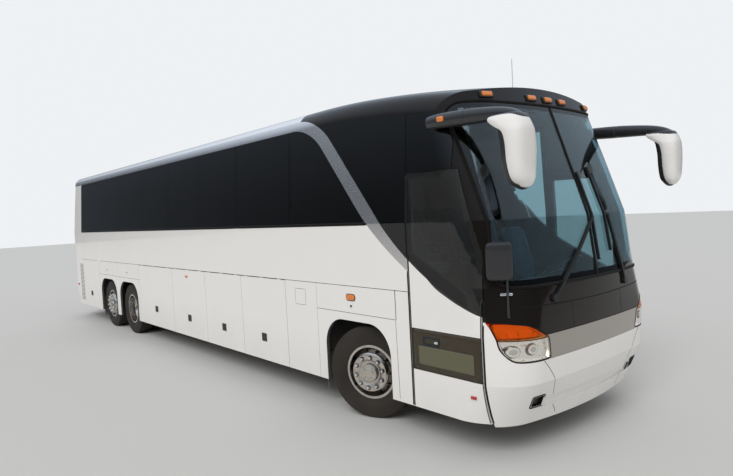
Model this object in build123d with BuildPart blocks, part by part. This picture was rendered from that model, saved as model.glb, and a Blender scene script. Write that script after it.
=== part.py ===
"""Three-axle touring coach: 45 ft long, 102 in wide, with a raised passenger deck.

+X points to the front, +Y to the left side, +Z up. The origin lies on the ground,
under the middle of the whole outline. Lengths are millimetres.
"""
import os
from math import atan2, cos, radians, sin, sqrt

from build123d import *

os.makedirs("parts", exist_ok=True)

# Overall size
BODY_LENGTH = 13716
BODY_WIDTH = 2591
ROOF_HEIGHT = 3625
MIRROR_REACH = 226
FRONT_X = (BODY_LENGTH + MIRROR_REACH) / 2
NOSE_X = FRONT_X - MIRROR_REACH
REAR_X = NOSE_X - BODY_LENGTH
HALF_WIDTH = BODY_WIDTH / 2

# Heights of the body's lines
SKIRT_Z = 330
SEAM_Z = 1466
BELT_Z = 2148
GUTTER_Z = 3312
GUTTER_LEAN = 76
EAVE_LAP = 6
SHOULDER_Y = 1040
SHOULDER_DROP = 105
DECK_Z = 1210
PLATFORM_Z = 900

# Wall build-up
GLASS = 10
LID_WALL = 40
DOOR_WALL = 45
WALL = 60
STRIP_PROUD = 4
PANEL_GAP = 8

# Nose: roof falls towards the windscreen as a parabola through three sections
FALL_START_X = NOSE_X - 2845
FALL_MID = 1400
FALL_DROP = 75

# Axles, from the nose backwards
FRONT_OVERHANG = 2152
WHEELBASE = 7483
TAG_SPACING = 1320
FRONT_AXLE_X = NOSE_X - FRONT_OVERHANG
DRIVE_AXLE_X = FRONT_AXLE_X - WHEELBASE
TAG_AXLE_X = DRIVE_AXLE_X - TAG_SPACING

# Wheels
TYRE_RADIUS = 515
TYRE_WIDTH = 290
RIM_RADIUS = 298.5
RIM_WIDTH = 240
TYRE_SET_IN = 48
TWIN_GAP = 40
ARCH_HALF = 560
ARCH_TOP_Z = 1078
STEER_AT_REST = 21
KINGPIN_Y = 900
KINGPIN_RADIUS = 25
PIN_CLEARANCE = 0.3
SEAT_GAP = 0.3

WHEEL_Y = HALF_WIDTH - TYRE_SET_IN - TYRE_WIDTH / 2
TWIN_INNER_Y = WHEEL_Y - TYRE_WIDTH - TWIN_GAP

# Plan outline of the body at each height.
# Columns: height, nose set-back at the centre line, sweep of the front arc where the
# corner begins, half width where the corner begins, set-back of the tail.
LEVELS = [
    (300, 145, 90, 900, 190),
    (700, 25, 37, 900, 0),
    (1124, 0, 37, 900, 0),
    (1552, 11, 72, 850, 0),
    (BELT_Z, 90, 72, 850, 12),
    (2610, 246, 72, 840, 60),
    (3229, 462, 70, 820, 130),
    (3700, 640, 70, 800, 200),
]
TAIL_CORNER = 180


def side_at(z):
    """Half width of the body at height z: upright to the belt, then leaning inwards."""
    lean = GUTTER_LEAN * (z - BELT_Z) / (GUTTER_Z - BELT_Z)
    return HALF_WIDTH - max(0.0, lean)


def roof_drop(x):
    """How far the roof has fallen at x, ahead of the start of its fall."""
    ahead = max(0.0, x - FALL_START_X) / FALL_MID
    return FALL_DROP * ahead**2


def across(point):
    """The same point on the other side of the centre line."""
    return (point[0], -point[1])


def plan_outline(level, inset):
    """The closed plan outline of one level, moved inwards by inset."""
    z, set_back, sweep, corner_y, tail = level
    side = side_at(z) - inset
    nose = NOSE_X - set_back - inset
    rear = REAR_X + tail + inset
    rise = 2 * atan2(sweep, corner_y)
    radius = (side - corner_y) / (1 - sin(rise))
    start = (nose - sweep, corner_y)
    centre_x = start[0] - radius * cos(rise)
    half_turn = (rise + radians(90)) / 2
    corner = (centre_x + radius * cos(half_turn), side - radius + radius * sin(half_turn))
    end = (centre_x, side)
    chord = TAIL_CORNER * (1 - sqrt(0.5))
    tail_start = (rear + TAIL_CORNER, side)
    tail_mid = (rear + chord, side - chord)
    tail_end = (rear, side - TAIL_CORNER)
    with BuildLine() as outline:
        ThreePointArc(start, (nose, 0), across(start))
        ThreePointArc(across(start), across(corner), across(end))
        Line(across(end), across(tail_start))
        ThreePointArc(across(tail_start), across(tail_mid), across(tail_end))
        Line(across(tail_end), tail_end)
        ThreePointArc(tail_end, tail_mid, tail_start)
        Line(tail_start, end)
        ThreePointArc(end, corner, start)
    return outline.line


def roof_outline(x, inset):
    """The roof's cross-section at x: a wide box under two shoulders and a crown."""
    drop = roof_drop(x)
    wide = HALF_WIDTH + 200
    eave = (HALF_WIDTH - GUTTER_LEAN - inset - 3, GUTTER_Z - drop)
    shoulder = (SHOULDER_Y - inset / 2, ROOF_HEIGHT - SHOULDER_DROP - drop - inset * 0.9)
    crown = (0, ROOF_HEIGHT - drop - inset)
    side_slope = (-GUTTER_LEAN, GUTTER_Z - BELT_Z)
    with BuildLine() as outline:
        Polyline((-eave[0], eave[1]), (-wide, eave[1]), (-wide, 0), (wide, 0), (wide, eave[1]), eave)
        TangentArc(eave, shoulder, tangent=side_slope)
        ThreePointArc(shoulder, crown, (-shoulder[0], shoulder[1]))
        TangentArc((-eave[0], eave[1]), (-shoulder[0], shoulder[1]), tangent=(GUTTER_LEAN, side_slope[1]))
    return outline.line


def roof_form(inset):
    """Everything under the roof's surface, as wide blocks that the sides then trim."""
    sections = (FALL_START_X, FALL_START_X + FALL_MID, NOSE_X + 60)
    with BuildPart() as form:
        with BuildSketch(Plane.YZ.offset(REAR_X - 50)):
            add(roof_outline(REAR_X, inset))
            make_face()
        extrude(amount=FALL_START_X - REAR_X + 50)
        for x in sections:
            with BuildSketch(Plane.YZ.offset(x)):
                add(roof_outline(x, inset))
                make_face()
        loft()
    return form.part


def body_form(inset):
    """The solid body outline, moved inwards by inset."""
    roof = roof_form(inset)
    with BuildPart() as form:
        for level in LEVELS:
            with BuildSketch(Plane.XY.offset(level[0])):
                add(plan_outline(level, inset))
                make_face()
        loft(ruled=True)
        add(roof, mode=Mode.INTERSECT)
    return form.part


def layer(outside, inside):
    """The shell between two nested body forms."""
    with BuildPart() as shell:
        add(outside)
        add(inside, mode=Mode.SUBTRACT)
    return shell.part


def block(x, y, z, mode=Mode.ADD):
    """A box between two values on each axis."""
    low = (min(x), min(y), min(z))
    size = (abs(x[1] - x[0]), abs(y[1] - y[0]), abs(z[1] - z[0]))
    with Locations(Vector(low) + Vector(size) / 2):
        Box(*size, mode=mode)


def side_slab(side, outline):
    """A side-view outline carried through one side wall; side is -1 right, 1 left."""
    with BuildPart() as slab:
        with BuildSketch(Plane.XZ.offset(-side * SLAB_INNER_Y)):
            add(outline)
            make_face()
        extrude(amount=-side * (HALF_WIDTH + 60 - SLAB_INNER_Y))
    return slab.part


def under_strip(top_z, corner_x, bend, turn, end):
    """Side view of all that lies below one edge of the metal strip."""
    with BuildLine() as outline:
        edge = FilletPolyline((REAR_X - 100, top_z), (corner_x, top_z), turn, radius=bend)
        sweep = TangentArc(edge @ 1, end, tangent=edge % 1)
        Polyline(sweep @ 1, (end[0], 0), (REAR_X - 100, 0), (REAR_X - 100, top_z))
    return outline.line


def over_gutter():
    """Side view of the roof shell and its laps over the walls, falling towards the nose."""
    top = ROOF_HEIGHT + 100
    lap_z = GUTTER_Z - EAVE_LAP
    eave = [(x, lap_z - roof_drop(x)) for x in (FALL_START_X, FALL_START_X + FALL_MID, NOSE_X)]
    with BuildLine() as outline:
        Line((REAR_X - 100, lap_z), eave[0])
        ThreePointArc(*eave)
        Polyline(eave[2], (NOSE_X, top), (REAR_X - 100, top), (REAR_X - 100, lap_z))
    return outline.line


def write(piece, label):
    """Name one finished piece and write it as a STEP file."""
    piece.label = label
    export_step(piece, f"parts/{label}.step")


# Door and window lines along each side
DOOR_REAR_X = NOSE_X - 1278
DOOR_FRONT_X = NOSE_X - 400
DOOR_TOP_Z = 2630
SLAB_INNER_Y = 760
TAIL_SPLIT_X = REAR_X + TAIL_CORNER + 20
GLASS_REAR_X = REAR_X + 830
STRIP_HEIGHT = 105
STRIP_SLOPE = 1.138
PANE_JOINT_X = [FRONT_AXLE_X - back for back in (9093, 7783, 6473, 5138, 3888, 2618, 1208)]
JOINT = 6
FRAME_POST = 45

outer_turn = (FRONT_AXLE_X + 467, 2170)
outer_corner_x = outer_turn[0] - (GUTTER_Z + STRIP_HEIGHT - outer_turn[1]) / STRIP_SLOPE
inner_turn = (FRONT_AXLE_X + 57, 2376)
inner_corner_x = inner_turn[0] - (GUTTER_Z - inner_turn[1]) / STRIP_SLOPE
outer_line = under_strip(GUTTER_Z + STRIP_HEIGHT, outer_corner_x, 930, outer_turn, (DOOR_FRONT_X, 1302))
inner_line = under_strip(GUTTER_Z, inner_corner_x, 833, inner_turn, (DOOR_REAR_X, 1670))

skin = body_form(0)
under_glass = body_form(GLASS)
lid_inside = body_form(LID_WALL)
door_inside = body_form(DOOR_WALL)
cabin = body_form(WALL)
raised = body_form(-STRIP_PROUD)
pane_layer = layer(skin, under_glass)
frame_layer = layer(under_glass, cabin)
lid_layer = layer(skin, lid_inside)
door_layer = layer(skin, door_inside)
wall_layer = layer(skin, cabin)
strip_layer = layer(raised, under_glass)

SIDES = {"right": -1, "left": 1}
CROSS = (-HALF_WIDTH - 50, HALF_WIDTH + 50)
outer_slab = {name: side_slab(side, outer_line) for name, side in SIDES.items()}
inner_slab = {name: side_slab(side, inner_line) for name, side in SIDES.items()}

with BuildPart() as gutter_slab:
    with BuildSketch(Plane.XZ.offset(-HALF_WIDTH - 50)):
        add(over_gutter())
        make_face()
    extrude(amount=BODY_WIDTH + 100)

# Side view of the entry door, whose front edge leans back with the windscreen pillar
DOOR_LEAN_Z = 1850
DOOR_LEAN = 240
DOOR_GAP = 8
OVER_DOOR_FRONT_X = DOOR_FRONT_X - DOOR_LEAN - 65


def door_outline(gap):
    """Side view of the door opening, made smaller by gap all round."""
    rear = DOOR_REAR_X + gap
    front = DOOR_FRONT_X - gap
    with BuildLine() as outline:
        Polyline((rear, SKIRT_Z), (front, SKIRT_Z), (front, DOOR_LEAN_Z),
                 (front - DOOR_LEAN, DOOR_TOP_Z - gap), (rear, DOOR_TOP_Z - gap), close=True)
    return outline.line


def door_window():
    """Side view of the door's upper window, which follows the metal strip's sweep."""
    with BuildLine() as outline:
        Polyline((DOOR_REAR_X + 65, 1850), (DOOR_FRONT_X - 75, 1440), (DOOR_FRONT_X - 60, DOOR_LEAN_Z),
                 (DOOR_FRONT_X - 280, DOOR_TOP_Z - 90), (DOOR_REAR_X + 65, DOOR_TOP_Z - 90), close=True)
    return outline.line


def last_window():
    """Side view of the pane opening behind the metal strip."""
    rear = PANE_JOINT_X[-1] + FRAME_POST
    with BuildLine() as outline:
        Polyline((rear, BELT_Z + 65), (inner_turn[0] + 40, BELT_Z + 65), (inner_turn[0] - 660, 3010),
                 (inner_turn[0] - 860, GUTTER_Z - 75), (rear, GUTTER_Z - 75), close=True)
    return outline.line


def quarter_window():
    """Side view of the pane opening between the metal strip and the door."""
    front = DOOR_REAR_X - 60
    with BuildLine() as outline:
        Polyline((outer_turn[0] - 760, GUTTER_Z - 147), (front, GUTTER_Z - 147), (front, 1960),
                 (outer_turn[0] + 175, 2110), close=True)
    return outline.line


door_slab = {name: side_slab(side, door_outline(0)) for name, side in SIDES.items()}
leaf_slab = {name: side_slab(side, door_outline(DOOR_GAP)) for name, side in SIDES.items()}
door_hole = {name: side_slab(side, door_window()) for name, side in SIDES.items()}
last_hole = {name: side_slab(side, last_window()) for name, side in SIDES.items()}
quarter_hole = {name: side_slab(side, quarter_window()) for name, side in SIDES.items()}

# Windscreen outline in front view
WINDSCREEN_HALF = 1200
WINDSCREEN_LOW_Z = 1545
WINDSCREEN_HIGH_Z = 3235
WINDSCREEN_LAP = 40


def screen_slab(shrink):
    """The windscreen's front-view outline, carried backwards from the nose."""
    middle = (WINDSCREEN_LOW_Z + WINDSCREEN_HIGH_Z) / 2
    wide = 2 * (WINDSCREEN_HALF - shrink)
    high = WINDSCREEN_HIGH_Z - WINDSCREEN_LOW_Z - 2 * shrink
    with BuildPart() as slab:
        with BuildSketch(Plane.YZ.offset(NOSE_X - 900)):
            with Locations((0, middle)):
                RectangleRounded(wide, high, 100)
        extrude(amount=1000)
    return slab.part


screen_hole = screen_slab(WINDSCREEN_LAP)
screen_area = screen_slab(0)
screen_margin = screen_slab(-JOINT)

# Side walls: painted panels, window posts behind the glass, and one pane between joints
side_panes = []
for name, side in SIDES.items():
    y = (side * SLAB_INNER_Y, side * (HALF_WIDTH + 20))
    with BuildPart() as panels:
        block((TAIL_SPLIT_X, DOOR_REAR_X), y, (SEAM_Z, GUTTER_Z))
        add(inner_slab[name], mode=Mode.INTERSECT)
        block((GLASS_REAR_X, DOOR_REAR_X), y, (BELT_Z, GUTTER_Z), mode=Mode.SUBTRACT)
        if name == "left":
            add(door_slab[name])
            add(outer_slab[name], mode=Mode.INTERSECT)
        add(pane_layer, mode=Mode.INTERSECT)
    with BuildPart() as wall:
        block((TAIL_SPLIT_X, DOOR_REAR_X), y, (SEAM_Z, GUTTER_Z))
        if name == "left":
            add(door_slab[name])
        add(frame_layer, mode=Mode.INTERSECT)
        rear_x = GLASS_REAR_X
        for joint_x in PANE_JOINT_X:
            x = (rear_x + FRAME_POST, joint_x - FRAME_POST)
            block(x, y, (BELT_Z + 65, GUTTER_Z - 75), mode=Mode.SUBTRACT)
            rear_x = joint_x
        add(last_hole[name], mode=Mode.SUBTRACT)
        add(quarter_hole[name], mode=Mode.SUBTRACT)
        if name == "left":
            add(door_hole[name], mode=Mode.SUBTRACT)
        add(gutter_slab.part, mode=Mode.SUBTRACT)
        add(panels.part)
    write(wall.part, f"{name}_side_wall")

    with BuildPart() as front_panes:
        block((outer_corner_x - 200, DOOR_REAR_X - JOINT / 2), y, (1500, GUTTER_Z))
        block((DOOR_REAR_X + JOINT / 2, OVER_DOOR_FRONT_X), y, (DOOR_TOP_Z, GUTTER_Z))
        if name == "left":
            add(leaf_slab[name])
        add(screen_margin, mode=Mode.SUBTRACT)
        add(outer_slab[name], mode=Mode.SUBTRACT)
        add(gutter_slab.part, mode=Mode.SUBTRACT)
    with BuildPart() as glass:
        rear_x = GLASS_REAR_X
        for joint_x in PANE_JOINT_X + [DOOR_REAR_X]:
            block((rear_x + JOINT / 2, joint_x - JOINT / 2), y, (BELT_Z, GUTTER_Z))
            rear_x = joint_x
        add(inner_slab[name], mode=Mode.INTERSECT)
        add(front_panes.part)
        add(pane_layer, mode=Mode.INTERSECT)
    side_panes.append(glass.part)
with BuildPart() as side_glass:
    for panes in side_panes:
        add(panes)
write(side_glass.part, "side_glass")

# Bright metal strips: along the eaves, then sweeping down to the doors
with BuildPart() as strips:
    for name, side in SIDES.items():
        add(outer_slab[name])
        add(inner_slab[name], mode=Mode.SUBTRACT)
    block((TAIL_SPLIT_X, DOOR_REAR_X - JOINT / 2), CROSS, (1600, ROOF_HEIGHT), mode=Mode.INTERSECT)
    add(strip_layer, mode=Mode.INTERSECT)
write(strips.part, "eave_strips")

# Roof: one shell behind, a gloss black cap in front that carries the windscreen's pillars
CAP_REAR_X = NOSE_X - 3155
with BuildPart() as roof_top:
    add(gutter_slab.part)
    block((TAIL_SPLIT_X, CAP_REAR_X), CROSS, (GUTTER_Z - EAVE_LAP, ROOF_HEIGHT + 50), mode=Mode.INTERSECT)
    add(outer_slab["right"], mode=Mode.SUBTRACT)
    add(outer_slab["left"], mode=Mode.SUBTRACT)
    add(pane_layer, mode=Mode.INTERSECT)
with BuildPart() as roof:
    add(gutter_slab.part)
    block((TAIL_SPLIT_X, CAP_REAR_X), CROSS, (GUTTER_Z - EAVE_LAP, ROOF_HEIGHT + 50), mode=Mode.INTERSECT)
    add(frame_layer, mode=Mode.INTERSECT)
    add(roof_top.part)
write(roof.part, "roof")

with BuildPart() as cap_area:
    block((NOSE_X - 700, NOSE_X + 50), CROSS, (WINDSCREEN_LOW_Z, GUTTER_Z))
    block((DOOR_REAR_X + JOINT, NOSE_X - 700), CROSS, (DOOR_TOP_Z, GUTTER_Z))
    for name in SIDES:
        add(door_slab[name], mode=Mode.SUBTRACT)
    add(gutter_slab.part, mode=Mode.SUBTRACT)
with BuildPart() as cap_top:
    add(gutter_slab.part)
    block((CAP_REAR_X, NOSE_X + 50), CROSS, (WINDSCREEN_LOW_Z, ROOF_HEIGHT + 50), mode=Mode.INTERSECT)
with BuildPart() as cap_frame:
    add(cap_area.part)
    add(cap_top.part)
    add(screen_hole, mode=Mode.SUBTRACT)
    add(frame_layer, mode=Mode.INTERSECT)
with BuildPart() as front_cap:
    add(cap_area.part)
    block((DOOR_REAR_X, OVER_DOOR_FRONT_X + JOINT), CROSS, (DOOR_TOP_Z, GUTTER_Z), mode=Mode.SUBTRACT)
    add(cap_top.part)
    add(outer_slab["right"], mode=Mode.SUBTRACT)
    add(outer_slab["left"], mode=Mode.SUBTRACT)
    add(screen_area, mode=Mode.SUBTRACT)
    add(pane_layer, mode=Mode.INTERSECT)
    add(cap_frame.part)
write(front_cap.part, "front_cap")

with BuildPart() as windscreen:
    add(screen_area)
    block((NOSE_X - 1000, NOSE_X + 100), (-JOINT / 2, JOINT / 2), (1000, ROOF_HEIGHT), mode=Mode.SUBTRACT)
    add(pane_layer, mode=Mode.INTERSECT)
write(windscreen.part, "windscreen")

# Front end below the windscreen, drawn in front view for the left half
BUMPER_TOP_Z = 902
MASK_LOW_Z = 1124
FRONT_ZONE_X = DOOR_FRONT_X + DOOR_GAP
lamp_top = [(860, 1122), (1020, 1220), (1150, 1247), (1272, 1258)]
lamp_low = [(1250, 1100), (1235, 1020), (1170, 922), (1020, BUMPER_TOP_Z + 3), (795, BUMPER_TOP_Z + 3)]
mask_low = [(0, MASK_LOW_Z + 3), (858, MASK_LOW_Z + 3), (1018, 1225), (1150, 1252), (1350, 1268)]
mask_outline = mask_low + [(1350, WINDSCREEN_LOW_Z), (0, WINDSCREEN_LOW_Z)]
bumper_outline = [(0, 300), (1350, 300), (1350, 1264), (1275, 1259)] + lamp_low[:4]
bumper_outline += [(795, BUMPER_TOP_Z + 3), (795, BUMPER_TOP_Z - 2), (0, BUMPER_TOP_Z - 2)]
band_outline = [(0, BUMPER_TOP_Z + 1), (792, BUMPER_TOP_Z + 1), (857, MASK_LOW_Z), (0, MASK_LOW_Z)]
STEP_DEPTH = 16
STEP_BAND_HALF = 800
STEP_BAND_Z = (438, 538)
step_floor = body_form(STEP_DEPTH)
with BuildPart() as bumper_step:
    block((FRONT_ZONE_X, NOSE_X + 50), (-STEP_BAND_HALF, STEP_BAND_HALF), STEP_BAND_Z)
    add(step_floor, mode=Mode.SUBTRACT)
TOW_Y = 880
TOW_Z = 515
TOW_HOLE = (130, 90)
with BuildPart() as tow_holes:
    with Locations((NOSE_X - 100, TOW_Y, TOW_Z), (NOSE_X - 100, -TOW_Y, TOW_Z)):
        Box(400, *TOW_HOLE)
front_pieces = {
    "front_mask": mask_outline,
    "front_bumper": bumper_outline,
    "front_band": band_outline,
}
for name, outline in front_pieces.items():
    with BuildPart() as piece:
        with BuildSketch(Plane.YZ.offset(FRONT_ZONE_X)):
            with BuildLine():
                Polyline(*outline, close=True)
            make_face()
            mirror(about=Plane.YZ)
        extrude(amount=500)
        add(door_layer, mode=Mode.INTERSECT)
        add(tow_holes.part, mode=Mode.SUBTRACT)
        if name == "front_bumper":
            add(bumper_step.part, mode=Mode.SUBTRACT)
    write(piece.part, name)

# Headlamps: a clear lens over a bowl, with two projectors in its lower half
LAMP_RIM = 14
BOWL_DEPTH = 34
PROJECTOR_RADIUS = 46
PROJECTOR_PLACES = [(-1155, 1003), (-1005, 1015), (1155, 1003), (1005, 1015)]
bowl_floor = body_form(BOWL_DEPTH)
lamp_shapes = []
for shrink in (0, LAMP_RIM):
    with BuildPart() as lamp:
        with BuildSketch(Plane.YZ.offset(FRONT_ZONE_X)):
            with BuildLine():
                Polyline(*lamp_top, *lamp_low, close=True)
            make_face()
            if shrink:
                offset(amount=-shrink, kind=Kind.INTERSECTION)
            mirror(about=Plane.YZ)
        extrude(amount=500)
    lamp_shapes.append(lamp.part)
with BuildPart() as headlamps:
    add(lamp_shapes[0])
    add(pane_layer, mode=Mode.INTERSECT)
write(headlamps.part, "headlamps")
with BuildPart() as bowl_pockets:
    add(lamp_shapes[1])
    add(bowl_floor, mode=Mode.SUBTRACT)
with BuildPart() as projectors:
    with BuildSketch(Plane.YZ.offset(FRONT_ZONE_X)):
        with Locations(*PROJECTOR_PLACES):
            Circle(PROJECTOR_RADIUS)
    extrude(amount=500)
    add(step_floor, mode=Mode.INTERSECT)
with BuildPart() as lamp_bowls:
    add(lamp_shapes[0])
    add(bowl_pockets.part, mode=Mode.SUBTRACT)
    add(projectors.part)
    add(layer(body_form(GLASS + SEAT_GAP), door_inside), mode=Mode.INTERSECT)
write(lamp_bowls.part, "lamp_bowls")

# Entry door on the right: a leaf with two windows, carried by two arms on a column
with BuildPart() as lower_window:
    y = (-SLAB_INNER_Y, -HALF_WIDTH - 20)
    block((DOOR_REAR_X + 80, DOOR_FRONT_X - 85), y, (750, 1080))
with BuildPart() as lower_pane:
    block((DOOR_REAR_X + DOOR_GAP + 4, DOOR_FRONT_X - DOOR_GAP - 4), y, (708, 1118))
with BuildPart() as leaf_skin:
    add(leaf_slab["right"])
    add(outer_slab["right"], mode=Mode.INTERSECT)
    add(lower_pane.part, mode=Mode.SUBTRACT)
    add(pane_layer, mode=Mode.INTERSECT)
with BuildPart() as door_panes:
    add(leaf_slab["right"])
    add(outer_slab["right"], mode=Mode.SUBTRACT)
    add(lower_pane.part)
    add(pane_layer, mode=Mode.INTERSECT)
write(door_panes.part, "entry_door_glass")

# Door column: it stands ahead of the steps, and its two arms carry the leaf by pins
ARM_REACH = 560
ARM_Z = [560, 1150]
ARM_HIGH = 40
ARM_WIDE = 28
COLUMN_X = DOOR_FRONT_X - 105
COLUMN_Y = -HALF_WIDTH + 150
COLUMN_RADIUS = 20
COLUMN_Z = (335, 1290)
LEAF_PIN_X = COLUMN_X - ARM_REACH
LEAF_PIN_RADIUS = 12
LUG_HIGH = 14
with BuildPart() as door_column:
    with Locations((COLUMN_X, COLUMN_Y, sum(COLUMN_Z) / 2)):
        Cylinder(COLUMN_RADIUS, COLUMN_Z[1] - COLUMN_Z[0])
    for z in ARM_Z:
        block((LEAF_PIN_X, COLUMN_X), (COLUMN_Y - ARM_WIDE / 2, COLUMN_Y + ARM_WIDE / 2), (z, z + ARM_HIGH))
        with Locations((LEAF_PIN_X, COLUMN_Y, z + ARM_HIGH / 2)):
            Cylinder(LEAF_PIN_RADIUS + 12, ARM_HIGH)
            Cylinder(LEAF_PIN_RADIUS + PIN_CLEARANCE, ARM_HIGH, mode=Mode.SUBTRACT)
write(door_column.part, "door_column")

with BuildPart() as entry_door:
    add(leaf_slab["right"])
    add(under_glass, mode=Mode.INTERSECT)
    add(door_inside, mode=Mode.SUBTRACT)
    add(door_hole["right"], mode=Mode.SUBTRACT)
    add(lower_window.part, mode=Mode.SUBTRACT)
    add(leaf_skin.part)
    for z in ARM_Z:
        lug_y = (-HALF_WIDTH + DOOR_WALL, COLUMN_Y + LEAF_PIN_RADIUS)
        lug_x = (LEAF_PIN_X - LEAF_PIN_RADIUS, LEAF_PIN_X + LEAF_PIN_RADIUS)
        block(lug_x, lug_y, (z - LUG_HIGH - PIN_CLEARANCE, z - PIN_CLEARANCE))
        block(lug_x, lug_y, (z + ARM_HIGH + PIN_CLEARANCE, z + ARM_HIGH + PIN_CLEARANCE + LUG_HIGH))
        with Locations((LEAF_PIN_X, COLUMN_Y, z + ARM_HIGH / 2)):
            Cylinder(LEAF_PIN_RADIUS, ARM_HIGH + LUG_HIGH)
write(entry_door.part, "entry_door")

# Luggage doors: top-hung lids along both sides, each on three short hinge barrels
LUGGAGE_X = [DRIVE_AXLE_X + 687] + [FRONT_AXLE_X - back for back in (5110, 3778, 2574, 1395)]
FUEL_PANEL_FRONT_X = FRONT_AXLE_X - 710
LID_TOP_Z = SEAM_Z - PANEL_GAP
BARREL_RADIUS = PANEL_GAP / 2
BARREL_LENGTH = 80
BARREL_Z = SEAM_Z - BARREL_RADIUS - PIN_CLEARANCE
for name, side in SIDES.items():
    y = (side * SLAB_INNER_Y, side * (HALF_WIDTH + 20))
    for index in range(4):
        x = (LUGGAGE_X[index] + PANEL_GAP / 2, LUGGAGE_X[index + 1] - PANEL_GAP / 2)
        with BuildPart() as lid:
            block(x, y, (SKIRT_Z, LID_TOP_Z))
            add(lid_layer, mode=Mode.INTERSECT)
            for share in (0.12, 0.5, 0.88):
                barrel_x = x[0] + share * (x[1] - x[0])
                with Locations(Location((barrel_x, side * HALF_WIDTH, BARREL_Z), (0, 90, 0))):
                    Cylinder(BARREL_RADIUS, BARREL_LENGTH)
                ends = (barrel_x - BARREL_LENGTH / 2, barrel_x + BARREL_LENGTH / 2)
                block(ends, (side * (HALF_WIDTH - 3), side * HALF_WIDTH), (LID_TOP_Z - 5, BARREL_Z))
        write(lid.part, f"{name}_luggage_door_{index + 1}")


def arch_outline(x):
    """Side view of a wheel arch: upright flanks under a soft-cornered top."""
    with BuildLine() as outline:
        FilletPolyline((x - ARCH_HALF, 200), (x - ARCH_HALF, ARCH_TOP_Z), (x + ARCH_HALF, ARCH_TOP_Z),
                       (x + ARCH_HALF, 200), radius=330)
        Line((x + ARCH_HALF, 200), (x - ARCH_HALF, 200))
    return outline.line


# Fixed skirts: the fuel panel, the front arch, the door pillar, both rear arches and the
# tail, with pressed seams between their panels and louvres ahead of the rear corner.
# Columns of the seams: rear end, front end, lower edge, upper edge.
GROOVE_DEPTH = 7
LOUVRE_HIGH = 18
LOUVRE_PITCH = 34
LOUVRE_ROWS = 27
LOUVRE_MIDDLE_Z = 895
LOUVRE_X = (TAG_AXLE_X - 2270, TAG_AXLE_X - 1970)
ARCH_SEAM_Z = 1162
PANEL_SEAMS = [
    (TAG_AXLE_X - 670, TAG_AXLE_X - 662, SKIRT_Z, SEAM_Z),
    (TAG_AXLE_X - 662, LUGGAGE_X[0], ARCH_SEAM_Z, ARCH_SEAM_Z + 6),
    (DRIVE_AXLE_X - 613, DRIVE_AXLE_X - 607, ARCH_SEAM_Z, SEAM_Z),
    (FUEL_PANEL_FRONT_X, FRONT_AXLE_X + 663, ARCH_SEAM_Z, ARCH_SEAM_Z + 6),
    (FUEL_PANEL_FRONT_X - 3, FUEL_PANEL_FRONT_X + 3, SKIRT_Z, SEAM_Z),
    (FRONT_AXLE_X + 657, FRONT_AXLE_X + 669, ARCH_SEAM_Z, SEAM_Z),
]
for name, side in SIDES.items():
    y = (side * SLAB_INNER_Y, side * (HALF_WIDTH + 20))
    with BuildPart() as skirt:
        block((LUGGAGE_X[4] + PANEL_GAP / 2, DOOR_REAR_X), y, (SKIRT_Z, SEAM_Z))
        block((TAIL_SPLIT_X, LUGGAGE_X[0] - PANEL_GAP / 2), y, (SKIRT_Z, SEAM_Z))
        for axle_x in (FRONT_AXLE_X, DRIVE_AXLE_X, TAG_AXLE_X):
            with BuildSketch(Plane.XZ.offset(-side * SLAB_INNER_Y)):
                add(arch_outline(axle_x))
                make_face()
            extrude(amount=-side * 600, mode=Mode.SUBTRACT)
        add(lid_layer, mode=Mode.INTERSECT)
        with BuildSketch(Plane.XZ.offset(-side * (HALF_WIDTH - GROOVE_DEPTH))):
            for rear_x, front_x, low_z, high_z in PANEL_SEAMS:
                with Locations(((rear_x + front_x) / 2, (low_z + high_z) / 2)):
                    Rectangle(front_x - rear_x, high_z - low_z)
            with Locations((sum(LOUVRE_X) / 2, LOUVRE_MIDDLE_Z)):
                with GridLocations(0, LOUVRE_PITCH, 1, LOUVRE_ROWS):
                    Rectangle(LOUVRE_X[1] - LOUVRE_X[0], LOUVRE_HIGH)
        extrude(amount=-side * (GROOVE_DEPTH + 20), mode=Mode.SUBTRACT)
    write(skirt.part, f"{name}_skirt")

# Tail: wall with its window, engine lid, lamps and bumper
TAIL_BUMPER_Z = (430, 905)
ENGINE_LID_Z = (915, 1980)
ENGINE_LID_HALF = 950
TAIL_LAMP_Y = (1000, 1190)
TAIL_LAMP_Z = (1000, 1750)
TAIL_WINDOW_Z = (2330, 3120)
TAIL_WINDOW_HALF = 1030
TAIL_X = (REAR_X - 20, TAIL_SPLIT_X)
tail_screen = (TAIL_X, (-TAIL_WINDOW_HALF, TAIL_WINDOW_HALF), TAIL_WINDOW_Z)
with BuildPart() as tail_wall:
    block(TAIL_X, CROSS, (TAIL_BUMPER_Z[1] + PANEL_GAP, ROOF_HEIGHT + 20))
    lid_half = ENGINE_LID_HALF + PANEL_GAP
    block(TAIL_X, (-lid_half, lid_half), (0, ENGINE_LID_Z[1] + PANEL_GAP), mode=Mode.SUBTRACT)
    for side in SIDES.values():
        block(TAIL_X, [side * edge for edge in TAIL_LAMP_Y], TAIL_LAMP_Z, mode=Mode.SUBTRACT)
    block(*tail_screen, mode=Mode.SUBTRACT)
    add(wall_layer, mode=Mode.INTERSECT)
write(tail_wall.part, "tail_wall")
with BuildPart() as tail_window:
    block(*tail_screen)
    add(pane_layer, mode=Mode.INTERSECT)
write(tail_window.part, "tail_window")
tail_face_x = REAR_X + 12 * (ENGINE_LID_Z[1] - 1552) / (BELT_Z - 1552)
lid_barrel_z = ENGINE_LID_Z[1] + PANEL_GAP - BARREL_RADIUS - PIN_CLEARANCE
LID_LOUVRE_HALF = 700
LID_LOUVRE_MIDDLE_Z = 1360
LID_LOUVRE_ROWS = 14
PLATE_HALF = 165
PLATE_Z = (560, 720)
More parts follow.
